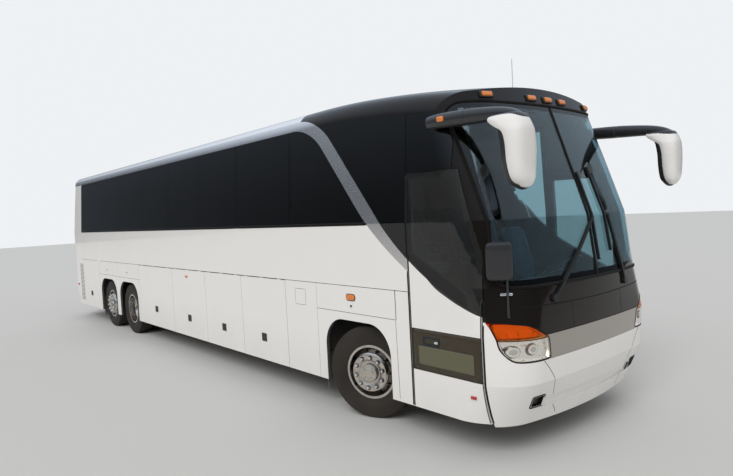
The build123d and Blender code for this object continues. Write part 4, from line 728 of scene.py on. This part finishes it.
def strip(path, view, width, proud, material, closed=False, step=0.03):
    """A strip with a low section, half an ellipse width across, carried along a path on the body."""
    laid = np.array([on_skin(across, z, view) for across, z in smooth_path(path, step, closed)])
    centre, normal = laid[:, :3], laid[:, 3:]
    normal = normal / np.linalg.norm(normal, axis=1, keepdims=True)
    along = np.gradient(centre, axis=0)
    if closed:
        along = np.roll(centre, -1, axis=0) - np.roll(centre, 1, axis=0)
    across = np.cross(normal, along)
    across /= np.linalg.norm(across, axis=1, keepdims=True)
    turn = np.linspace(0, 2 * np.pi, 10, endpoint=False)
    high = np.sin(turn) * np.where(np.sin(turn) > 0, proud, SINK)
    points = (centre[:, None] + across[:, None] * (np.cos(turn) * width / 2)[None, :, None]
              + normal[:, None] * high[None, :, None])
    return grid_mesh(points, material, flip=True) if closed else closed_loft(points, material)


def plate(view, across, z, half_wide, half_high, radius, profile, material):
    """A small moulded part with a rounded outline on the body; profile lists (inset, height) rows."""
    x, y, z, *normal = on_skin(across, z, view)
    normal = np.array(normal) / np.linalg.norm(normal)
    level = np.cross((0, 0, 1), normal)
    level /= np.linalg.norm(level)
    turn = np.radians(np.linspace(0, 360, 28, endpoint=False))
    round_part = np.stack([np.cos(turn), np.sin(turn)], 1)
    outline = np.sign(round_part) * (half_wide - radius, half_high - radius) + radius * round_part
    rows = []
    for inset, height in profile:
        flat = outline * (1 - inset / half_wide, 1 - inset / half_high)
        rows.append(np.array([x, y, z]) + flat[:, :1] * level + flat[:, 1:] * np.cross(normal, level)
                    + height * normal)
    return closed_loft(np.array(rows), material)


def round_path(left, right, low, high, radius):
    """A closed rectangular path with round corners."""
    path = []
    for across, z, start in ((right - radius, high - radius, 0), (left + radius, high - radius, 90),
                             (left + radius, low + radius, 180), (right - radius, low + radius, 270)):
        for angle in np.radians(np.linspace(start, start + 90, 5)):
            path.append((across + radius * np.cos(angle), z + radius * np.sin(angle)))
    return path


# Rows: path, width, height, then whether it is closed and its step where they differ from strip's own.
SCREEN_SEALS = [(round_path(-1.190, 1.190, 1.552, 3.240, 0.1), 0.034, 0.014, True),
                ([(0, 1.56), (0, 2.4), (0, 3.22)], 0.044, 0.010)]
NOSE_SEALS = [([(0.832, 1.1), (0.88, 1.136), (1.02, 1.218), (1.15, 1.246), (1.258, 1.252), (1.262, 1.2),
                (1.25, 1.1), (1.232, 1.01), (1.17, 0.925), (1.1, 0.91), (1, 0.907), (0.805, 0.91),
                (0.797, 0.925), (0.808, 1)], 0.012, 0.003, True),
              (round_path(0.803, 0.957, 0.460, 0.570, 0.012), 0.014, 0.004, True, 0.012),
              ([(0.888, 0.897), (0.8, 0.8), (0.734, 0.707), (0.7, 0.6), (0.684, 0.545)], 0.006, 0.001),
              ([(0.640, 0.430), (0.590, 0.370), (0.571, 0.335)], 0.006, 0.001),
              ([(0.45, 1.14), (0.45, 1.30), (0.45, 1.37)], 0.006, 0.001)]
BAND_JOINTS = [([(-1.16, 1.385), (0, 1.365), (1.16, 1.385)], 0.010, 0.001),
               ([(-0.83, 1.1255), (0, 1.1255), (0.83, 1.1255)], 0.008, 0.001)]
FLANK_SEALS = [([(GLASS_REAR_X, 2.150), (0, 2.150), (BELT_FRONT_X, 2.150)], 0.036, 0.007, False, 0.2),
               ([(GLASS_REAR_X, 2.165), (GLASS_REAR_X, 3.29)], 0.018, 0.004, False, 0.1),
               ([(-6.30, SEAM_Z), (0, SEAM_Z), (DOOR_REAR_X - 0.02, SEAM_Z)], 0.006, 0.001, False, 0.2),
               ([(5.262, 0.36), (5.256, 0.76), (5.249, 1.155)], 0.005, 0.001, False, 0.1),
               (round_path(3.426, 3.649, 1.177, 1.372, 0.01), 0.004, 0.0007, True, 0.01)]
DOOR_SEALS = [([(DOOR_REAR_X - 0.007, z) for z in (0.34, 1.4, 2.61)], 0.018, 0.004),
              ([(DOOR_FRONT_X + 0.009, z) for z in (0.34, 0.9, 1.44)], 0.018, 0.003)]
seal_rubber = clouded("seal rubber", (0.005, 0.0045, 0.004, 1), (0.014, 0.0125, 0.011, 1), 5.0, 4.0,
                      Roughness=0.5, Specular_IOR_Level=0.12)
mirrored = [([(side * y, z) for y, z in path], *rest)
            for side in sides.values() for path, *rest in NOSE_SEALS]
seals = [strip(path, view, width, proud, seal_rubber, *rest)
         for view, rows in (("front", SCREEN_SEALS + mirrored + BAND_JOINTS), ("left", FLANK_SEALS),
                            ("right", FLANK_SEALS + DOOR_SEALS))
         for path, width, proud, *rest in rows]
finish_piece("body_seals", seals, "tyre_rubber", "coach")

# Entry door fittings: brown perforated film with a paler pane on the lower glass and a bead round
# it, the black handle dish with its silver lever, and rubber lips on the door's own edges.
# Columns of a profile: inset, height. Columns of a place: across, z, half width, half height, corner.
DISH_AT = (5.735, 1.006, 0.110, 0.046, 0.014)
LEVER_AT = (5.800, 1.004, 0.024, 0.013, 0.010)
DARK_PANEL, DARK_PROUD = (5.478, 6.330, 0.711, 1.115), 0.0012
PALE_PANE, PALE_PROUD = (5.555, 6.248, 0.765, 0.953), 0.0022
BEAD = (5.553, 6.250, 0.763, 0.955, 0.010)
DISH = [(0.0, -0.004), (0.0, 0.003), (0.003, 0.006), (0.008, 0.006), (0.011, 0.002), (0.030, 0.001)]
LEVER = [(0.0, 0.0), (0.001, 0.007), (0.004, 0.010), (0.008, 0.011)]
FILM_BROWN = (0.024, 0.017, 0.009, 1)
FILM_PALE = (0.11, 0.11, 0.065, 1)
FILM_DOTS = (0.13, 0.11, 0.07, 1)
FILM_BACK = 0.001


def speckled(tree, paint, x, y, z):
    """The fine pale dots of a perforated film."""
    return layered(tree, paint, (ramp(tree, noise(tree, 240.0, 1.0), 0.0, 0.45, 0.42, 0.62), FILM_DOTS))


def film(left, right, low, high, proud, material):
    """A thin sheet on the right-hand side: the body's points moved out along its normals, and closed."""
    columns = []
    for x in np.linspace(left, right, 19):
        under = np.array([on_skin(x, z, "right") for z in np.linspace(low, high, 9)])
        front, back = under[:, :3] + proud * under[:, 3:], under[:, :3] - FILM_BACK * under[:, 3:]
        columns.append(np.concatenate([front, back[::-1]]))
    return closed_loft(np.array(columns), material)


moulded_black = lacquer("moulded black", POST_BLACK_AND_POCKET_SHADE, dust=0.1, rough=0.4, ripple=0.001, coat=0)
film_look = {"dust": 0.1, "ripple": 0.002, "coat": 0, "shine": 0.3, "over": speckled}
brown_film = lacquer("brown film", FILM_BROWN, rough=0.25, **film_look)
pale_film = lacquer("pale pane", FILM_PALE, rough=0.15, **film_look)
dark_panel, pale_pane = film(*DARK_PANEL, DARK_PROUD, brown_film), film(*PALE_PANE, PALE_PROUD, pale_film)
finish_piece("door_dark_panel", [dark_panel], "tinted_glass", "entry_door")
finish_piece("door_pale_pane", [pale_pane], "tinted_glass", "entry_door")
bead = strip(round_path(*BEAD), "right", 0.007, 0.003, moulded_black, True, 0.01)
rear_lip, front_lip = [strip([(x, z) for z in heights], "right", width, 0.003, moulded_black)
                       for x, heights, width in ((DOOR_REAR_X + 0.011, (0.34, 1.4, 2.60), 0.014),
                                                 (DOOR_FRONT_X - 0.014, (0.34, 0.9, 1.44), 0.010))]
dish = plate("right", *DISH_AT, DISH, moulded_black)
finish_piece("door_fittings", [bead, rear_lip, front_lip, dish], "dash_plastic", "entry_door")
finish_piece("door_lever", [plate("right", *LEVER_AT, LEVER, nut_metal)], "wheel_alloy", "entry_door")

# Luggage door latches: dark moulded plates with four square pads, screwed to each door and to the
# panel behind the wheels, and round lock dots on the fixed panels.
LATCH = [(0.0, -0.003), (0.0, 0.003), (0.004, 0.006), (0.012, 0.006)]
PAD = [(0.0, 0.004), (0.0, 0.009), (0.002, 0.010), (0.006, 0.010)]
LATCH_HALF, PAD_HALF, LOCK_HALF = (0.064, 0.056, 0.010), (0.024, 0.018, 0.003), (0.012, 0.012, 0.011)
PAD_SPOTS = [(shift, rise) for shift in (-0.029, 0.029) for rise in (-0.024, 0.024)]
LATCH_SPOTS = {1: (2.599, 0.643), 2: (1.41, 0.641), 3: (0.148, 0.646), 4: (-1.344, 0.659)}
PANEL_LATCH = (-5.559, 0.656)
LOCK_SPOTS = ((-4.265, 1.273), (-2.908, 1.278), (4.54, 1.245))


def latch(view, x, z):
    """A latch plate and its pads."""
    pads = [plate(view, x + shift, z + rise, *PAD_HALF, PAD, moulded_black) for shift, rise in PAD_SPOTS]
    return [plate(view, x, z, *LATCH_HALF, LATCH, moulded_black), *pads]


for view in sides:
    locks = [plate(view, *place, *LOCK_HALF, PAD, moulded_black) for place in LOCK_SPOTS]
    finish_piece(f"{view}_panel_locks", latch(view, *PANEL_LATCH) + locks, "dash_plastic", "coach")
    for door, place in LATCH_SPOTS.items():
        body = f"{view}_luggage_door_{door}"
        finish_piece(f"{view}_latch_{door}", latch(view, *place), "dash_plastic", body)

# Side and roof lamps: amber and red lenses moulded in acrylic on black bases that are screwed to
# the skin, and a red reflector glued low on the entry door.
LENS = [(0.0, -0.002), (0.0, 0.007), (0.003, 0.012), (0.010, 0.015), (0.018, 0.016)]
BASE = [(0.0, -0.010), (0.0, 0.008), (0.004, 0.013), (0.010, 0.014)]
HIGH_LENS = [(0.0, -0.002), (0.0, 0.022), (0.004, 0.029), (0.010, 0.032)]
WAIST_LAMPS = ((0.113, 1.348, 0.038, 0.018, 0.006), (4.535, 1.340, 0.076, 0.033, 0.031))
WAIST_BASE = (4.535, 1.340, 0.084, 0.040, 0.038)
REAR_MARKER = (-6.700, 0.813, 0.045, 0.022, 0.008)
REFLECTOR = (6.225, 0.569, 0.030, 0.014, 0.005)
ROOF_LAMP_Y = (-0.87, -0.27, 0.0, 0.27, 0.87)
ROOF_LENS, ROOF_BASE = (3.302, 0.056, 0.024, 0.008), (3.305, 0.078, 0.034, 0.012)
waist_lenses = [plate(view, *place, LENS, amber_lens) for view in sides for place in WAIST_LAMPS]
finish_piece("side_lamp_lenses", waist_lenses, "amber_lamp", "coach")
bases = [plate(view, *WAIST_BASE, LATCH, moulded_black) for view in sides]
bases += [plate("front", y, *ROOF_BASE, BASE, moulded_black) for y in ROOF_LAMP_Y]
finish_piece("lamp_bases", bases, "dash_plastic", "coach")
rear_markers = [plate(view, *REAR_MARKER, LENS, red_lens) for view in sides]
finish_piece("rear_side_markers", rear_markers, "red_lamp", "coach")
roof_lenses = [plate("front", y, *ROOF_LENS, HIGH_LENS, amber_lens) for y in ROOF_LAMP_Y]
finish_piece("roof_lamp_lenses", roof_lenses, "amber_lamp", "coach", "marker_lamps")
finish_piece("door_reflector", [plate("right", *REFLECTOR, LENS, red_lens)], "red_lamp", "entry_door")

# Grab handle: a bright cast bar screwed to the cap beside the right wiper, for whoever cleans the
# windscreen.
GRAB = [(0.0, -0.002), (0.0, 0.020), (0.003, 0.028), (0.008, 0.030)]
GRAB_AT = (-1.150, 1.500, 0.055, 0.013, 0.011)
finish_piece("grab_handle", [plate("front", *GRAB_AT, GRAB, nut_metal)], "wheel_alloy", "coach")

# Mirrors: on each side a moulded pod on the roof's shoulder runs forwards as an arm and carries
# a black housing with a white lacquered shell in front and mirror glass behind. A corner mirror
# stands on a thin post below the right-hand one.
# Columns of the arm, its lamp and the post: x, distance from the middle, z, half width, half height,
# in millimetres.
MIRROR_ARM = np.array([
    (5815, 1290, 3062, 8, 8), (5821, 1292, 3062, 36, 41), (5850, 1297, 3062, 52, 57),
    (5950, 1303, 3061, 62, 64), (6100, 1312, 3055, 67, 68), (6322, 1325, 3043, 70, 68),
    (6328, 1325, 3043, 64, 62), (6334, 1326, 3043, 70, 68), (6550, 1340, 3026, 68, 62),
    (6700, 1352, 3010, 66, 55), (6820, 1368, 2985, 62, 48), (6900, 1385, 2950, 48, 36),
    (6930, 1390, 2930, 10, 10)]) / 1000
ARM_LAMP = np.array([
    (6005, 1372, 3066, 3, 10), (6010, 1374, 3066, 9, 22), (6085, 1379, 3062, 9, 22),
    (6090, 1379, 3062, 3, 10)]) / 1000
POST = np.array([
    (6546, 1172, 1300, 20, 10), (6546, 1172, 1320, 14, 10), (6546, 1172, 1600, 10, 10),
    (6546, 1172, 1900, 10, 10)]) / 1000
# Columns of housing, shell and glass: z, rear edge, front, inner and outer distance from the middle,
# in millimetres.
MIRROR_HOUSING = np.array([
    (2386, 6866, 6886, 1352, 1380), (2398, 6851, 6905, 1322, 1408), (2430, 6834, 6930, 1286, 1458),
    (2475, 6814, 6946, 1262, 1496), (2600, 6803, 6958, 1246, 1527), (2750, 6798, 6964, 1240, 1537),
    (2870, 6770, 6960, 1246, 1534), (2930, 6700, 6945, 1254, 1522), (2975, 6690, 6925, 1272, 1500),
    (2990, 6730, 6890, 1300, 1470)]) / 1000
MIRROR_SHELL = np.array([
    (2400, 6890, 6908, 1338, 1392), (2414, 6884, 6930, 1302, 1430), (2475, 6862, 6955, 1259, 1500),
    (2600, 6850, 6967, 1242, 1532), (2750, 6844, 6971, 1236, 1539.5), (2840, 6818, 6969, 1240, 1539),
    (2880, 6760, 6964, 1244, 1538), (2912, 6712, 6954, 1249, 1534), (2945, 6678, 6940, 1256, 1526),
    (2972, 6684, 6915, 1272, 1508), (2985, 6750, 6870, 1310, 1470)]) / 1000
MIRROR_GLASS = np.array([
    (2450, 6816, 6824, 1300, 1450), (2500, 6806, 6814, 1272, 1490), (2700, 6796, 6804, 1260, 1515),
    (2860, 6770, 6778, 1264, 1515), (2900, 6745, 6753, 1290, 1490)]) / 1000
CORNER_AT = (6.508, -1.224, 1.795)
CORNER_HALF = (0.1125, 0.165, 0.031)
CORNER_FACING = np.array((0.6, -0.8, 0.0))
SATIN = (0.020, 0.020, 0.022, 1)
BACK_DOME = 0.003


def squared(value, power):
    """A sine or cosine pushed outwards to a squarer shape: its sign times its size to the power."""
    return np.sign(value) * np.abs(value) ** power


def rounded_turn(steps, wide, high):
    """Cosine and sine round a circle, each squared by its own power."""
    turn = np.linspace(0, 2 * np.pi, steps, endpoint=False)
    return squared(np.cos(turn), wide), squared(np.sin(turn), high)


def arm(rows, side, material):
    """Oval sections square to the x axis, carried along the arm's middle line."""
    x, y, z, half_wide, half_high = smooth_path(rows, 0.012).T[:, :, None]
    wide, high = rounded_turn(24, 0.85, 0.85)
    points = np.stack([x + 0 * wide, side * (y + half_wide * wide), z + half_high * high], axis=-1)
    return closed_loft(points, material)


def housing(rows, side, material):
    """Level sections, flat behind and bulging in front, stacked by height."""
    z, rear, front, inner, outer = smooth_path(rows, 0.012).T[:, :, None]
    wide, deep = rounded_turn(36, 0.6, 0.6)
    x = rear + np.where(deep > 0, (front - rear) * deep, BACK_DOME * deep)
    y = (inner + outer) / 2 + (outer - inner) / 2 * wide
    return closed_loft(np.stack([x, side * y, z + 0 * wide], axis=-1), material)


def corner_head(material):
    """A cushion shape: squared ovals that grow with the cosine and rise with the sine of one angle."""
    across, high = rounded_turn(32, 0.3, 0.3)
    rise = np.linspace(-np.pi / 2 + 0.05, np.pi / 2 - 0.05, 13)[:, None]
    spread, depth = np.cos(rise) ** 0.3, squared(np.sin(rise), 0.6)
    level = np.cross((0, 0, 1), CORNER_FACING)
    points = (np.array(CORNER_AT) + (CORNER_HALF[0] * spread * across)[..., None] * level
              + (CORNER_HALF[1] * spread * high)[..., None] * (0, 0, 1)
              + (CORNER_HALF[2] * depth)[..., None] * CORNER_FACING)
    return closed_loft(points, material)


def corner_post(material):
    """Level round sections up the post."""
    x, y, z, half_x, half_y = smooth_path(POST, 0.02).T[:, :, None]
    wide, high = rounded_turn(12, 1.0, 1.0)
    return closed_loft(np.stack([x + half_x * wide, half_y * high - y, z + 0 * wide], axis=-1), material)


satin_black = lacquer("mirror satin black", SATIN, dust=0, rough=0.32, ripple=0.002, coat=0.2)
shell_white = lacquer("mirror white", WHITE, dust=0, ripple=0.002)
mirror_glass, tree = shader("mirror glass", Metallic=1.0, Base_Color=(0.78, 0.80, 0.81, 1))
finish(tree, Roughness=ramp(tree, noise(tree, 7.0, 4.0), 0.01, 0.08))
black_parts = [shape(rows, side, satin_black) for side in sides.values()
               for shape, rows in ((arm, MIRROR_ARM), (housing, MIRROR_HOUSING))]
black_parts += [corner_head(satin_black), corner_post(satin_black)]
finish_piece("mirror_arms", black_parts, "black_paint", "coach", "mirrors")
white_parts = [housing(MIRROR_SHELL, side, shell_white) for side in sides.values()]
finish_piece("mirror_shells", white_parts, "body_paint", "coach")
glass_parts = [housing(MIRROR_GLASS, side, mirror_glass) for side in sides.values()]
finish_piece("mirror_glasses", glass_parts, "strip_metal", "coach")
arm_lamps = [arm(ARM_LAMP, side, amber_lens) for side in sides.values()]
finish_piece("mirror_arm_lamps", arm_lamps, "amber_lamp", "coach")

# Number plate: a blank pressed sheet in the recess of the rear bumper, grey with old dust and
# with rounded corners and a low raised edge.
PLATE_EDGE = [(0.0, 0.0), (0.0, 0.003), (0.002, 0.004), (0.006, 0.003)]
PLATE_AT = (0, 0.64, 0.152, 0.074, 0.012)
PLATE_WHITE = (0.72, 0.72, 0.70, 1)
blank_white = lacquer("blank plate", PLATE_WHITE, dust=0.4, ripple=0.001, coat=0.2)
finish_piece("number_plate", [plate("rear", *PLATE_AT, PLATE_EDGE, blank_white)], "body_paint", "coach")

# Cabin seats: foam cushions and backs covered in woven cloth, in pairs on steel pedestals, and
# the driver's seat. One cushion and one back are inflated by a short cloth run inside their
# cut covers, then repeated in every row. Thin moulded shells carry the backs.
SEAT_ROWS = 14
ROW_PITCH = 0.81
FIRST_SEAT_X = 4.767
SEAT_Z = 1.54
SEAT_Y = (0.4725, 0.9375)
LEG_Y = (0.50, 0.88)
REST_Y = (0.252, 0.705, 1.160)
DRIVER_AT = np.array((5.525, 0.62, 1.28))
DRIVER_GROW = 1.02
DRIVER_LEG_AT, DRIVER_LEG_GROW = (5.44, 0.62, 1.30), (1.6, 2.4, 1.15)
CUSHION_AT = np.array((0.172, 0, 0.060))
BACK_AT = np.array((-0.104, 0, 0.415))
CUSHION_HALF = (0.222, 0.216, 0.048)
BACK_HALF = (0.044, 0.212, 0.322)
BACK_TUCK = 0.22
BACK_LEAN = np.radians(13.1)
LUMBAR = 0.018
COVER_VOXEL = 0.026
SWELL = 0.012
CLOTH_FRAMES = 20
PRESSURE = 4
CLOTH_BLUE = (0.045, 0.055, 0.095, 1)
CLOTH_WORN = (0.09, 0.10, 0.14, 1)
SHELL_GREY = (0.035, 0.036, 0.04, 1)
# Each bar: half width, half thickness, path of (x, z).
SHELL_BAR = (0.205, 0.008, [(0.36, 0.0), (0.05, -0.004), (-0.03, 0.03), (-0.085, 0.16), (-0.165, 0.50),
                            (-0.215, 0.72)])
LEG_BAR = (0.045, 0.030, [(0.16, -0.32), (0.17, -0.20), (0.19, -0.10), (0.20, -0.01)])
REST_BAR = (0.020, 0.016, [(-0.10, 0.30), (-0.02, 0.315), (0.10, 0.31), (0.19, 0.30), (0.215, 0.285)])


def cut_cover(half, tuck):
    """A closed cover: a rounded block with half sizes half, its sides narrowed by tuck towards the top.

    Each point is half times the squared sines and cosines, to the power 0.35, of the two grid angles.
    """
    across, deep = rounded_turn(48, 0.35, 0.35)
    rise = np.linspace(-np.pi / 2 + 0.02, np.pi / 2 - 0.02, 24)[:, None]
    spread = squared(np.cos(rise), 0.35)
    z = half[2] * squared(np.sin(rise), 0.35) + 0 * across
    narrow = 1 - tuck * np.clip((z / half[2] - 0.45) / 0.45, 0, 1) ** 2
    return np.stack([half[0] * spread * across, half[1] * spread * deep * narrow, z], axis=-1)


def corners(mesh):
    """A mesh's points as an array."""
    return np.array([corner.co for corner in mesh.vertices])


def taken(obj):
    """The points and faces of an object, which is then removed."""
    shape = corners(obj.data), [tuple(polygon.vertices) for polygon in obj.data.polygons]
    bpy.data.objects.remove(obj)
    return shape


def inflated(points):
    """The cover remeshed evenly and blown up by a cloth run; no point moves further than SWELL."""
    obj = closed_loft(points, seat_cloth)
    remesh = obj.modifiers.new("even mesh", "REMESH")
    remesh.mode = "VOXEL"
    remesh.voxel_size = COVER_VOXEL
    even = bpy.data.meshes.new_from_object(obj.evaluated_get(bpy.context.evaluated_depsgraph_get()))
    obj.modifiers.clear()
    obj.data = even
    grown = 0
    cloth = obj.modifiers.new("cloth", "CLOTH")
    cloth.settings.use_pressure = True
    cloth.settings.uniform_pressure_force = PRESSURE
    cloth.settings.effector_weights.gravity = 0
    for moment in range(1, CLOTH_FRAMES + 1):
        bpy.context.scene.frame_set(moment)
    blown = obj.evaluated_get(bpy.context.evaluated_depsgraph_get()).data
    grown = corners(blown) - corners(even)
    grown *= np.minimum(1, SWELL / np.maximum(np.linalg.norm(grown, axis=1, keepdims=True), 1e-6))
    obj.modifiers.clear()
    bpy.context.scene.frame_set(1)
    flat, faces = taken(obj)
    return flat + grown, faces


def bar(half_wide, half_thick, path):
    """A flat bar with rounded edges: its section is carried along a path in the x-z plane."""
    path_x, path_z = np.array(path).T
    along_x, along_z = np.gradient(path_x), np.gradient(path_z)
    out = half_thick * np.stack([-along_z, along_x]) / np.hypot(along_x, along_z)
    wide, thick = rounded_turn(16, 0.25, 0.6)
    x, z = path_x[:, None] + out[0][:, None] * thick, path_z[:, None] + out[1][:, None] * thick
    return taken(closed_loft(np.stack([x, half_wide * wide + 0 * x, z], axis=-1), frame_plastic))


def moved(shape, place, grow=1):
    """A copy of a shape at another place."""
    return shape[0] * grow + place, shape[1]


def repeated(name, shapes, material, slot, *stands_for):
    """One piece of the cabin out of many placed shapes."""
    faces, count = [], 0
    for points, quads in shapes:
        faces += [tuple(index + count for index in quad) for quad in quads]
        count += len(points)
    obj = solid(np.concatenate([points for points, quads in shapes]), faces, material)
    return finish_piece(name, [obj], slot, "coach", *stands_for)


seat_cloth = clouded("seat cloth", CLOTH_BLUE, CLOTH_WORN, 11.0, 5.0, Roughness=0.9, Sheen_Weight=0.3,
                     Specular_IOR_Level=0.15)
tree = seat_cloth.node_tree
weave = add_node(tree, "ShaderNodeTexVoronoi", Scale=190.0, Vector=spot(tree))
finish(tree, Normal=bumped(tree, weave.outputs["Distance"], 0.002, 0.5))
frame_plastic = lacquer("seat shell plastic", SHELL_GREY, dust=0, rough=0.5, ripple=0.001, coat=0)
cushion = inflated(cut_cover(CUSHION_HALF, 0))
back, back_faces = inflated(cut_cover(BACK_HALF, BACK_TUCK))
back[:, 0] += LUMBAR * np.cos(np.clip((back[:, 2] + 0.12) / 0.2, -1, 1) * np.pi / 2)
lean = np.array([[np.cos(BACK_LEAN), 0, -np.sin(BACK_LEAN)], [0, 1, 0],
                 [np.sin(BACK_LEAN), 0, np.cos(BACK_LEAN)]])
back = back @ lean.T, back_faces
shell, leg, rest = [bar(*row) for row in (SHELL_BAR, LEG_BAR, REST_BAR)]
rows = [np.array((FIRST_SEAT_X - ROW_PITCH * row, 0, SEAT_Z)) for row in range(SEAT_ROWS)]
upholstery = ((cushion, CUSHION_AT), (back, BACK_AT))
for name, side in sides.items():
    covers = [moved(shape, at + row + (0, side * y, 0)) for shape, at in upholstery
              for row in rows for y in SEAT_Y]
    covers = repeated(f"{name}_seat_covers", covers, seat_cloth, "seat_fabric")
driver_covers = [moved(shape, at + DRIVER_AT, DRIVER_GROW) for shape, at in upholstery]
driver_covers = repeated("driver_seat_covers", driver_covers, seat_cloth, "seat_fabric")
for name, side in sides.items():
    frames = [moved(shape, row + (0, side * y, 0)) for row in rows
              for shape, across in ((shell, SEAT_Y), (leg, LEG_Y), (rest, REST_Y)) for y in across]
    repeated(f"{name}_seat_frames", frames, frame_plastic, "dash_plastic", "passenger_seats")
driver_frame = [moved(shell, DRIVER_AT), moved(leg, DRIVER_LEG_AT, DRIVER_LEG_GROW)]
repeated("driver_seat_frame", driver_frame, frame_plastic, "dash_plastic", "driver_seat")
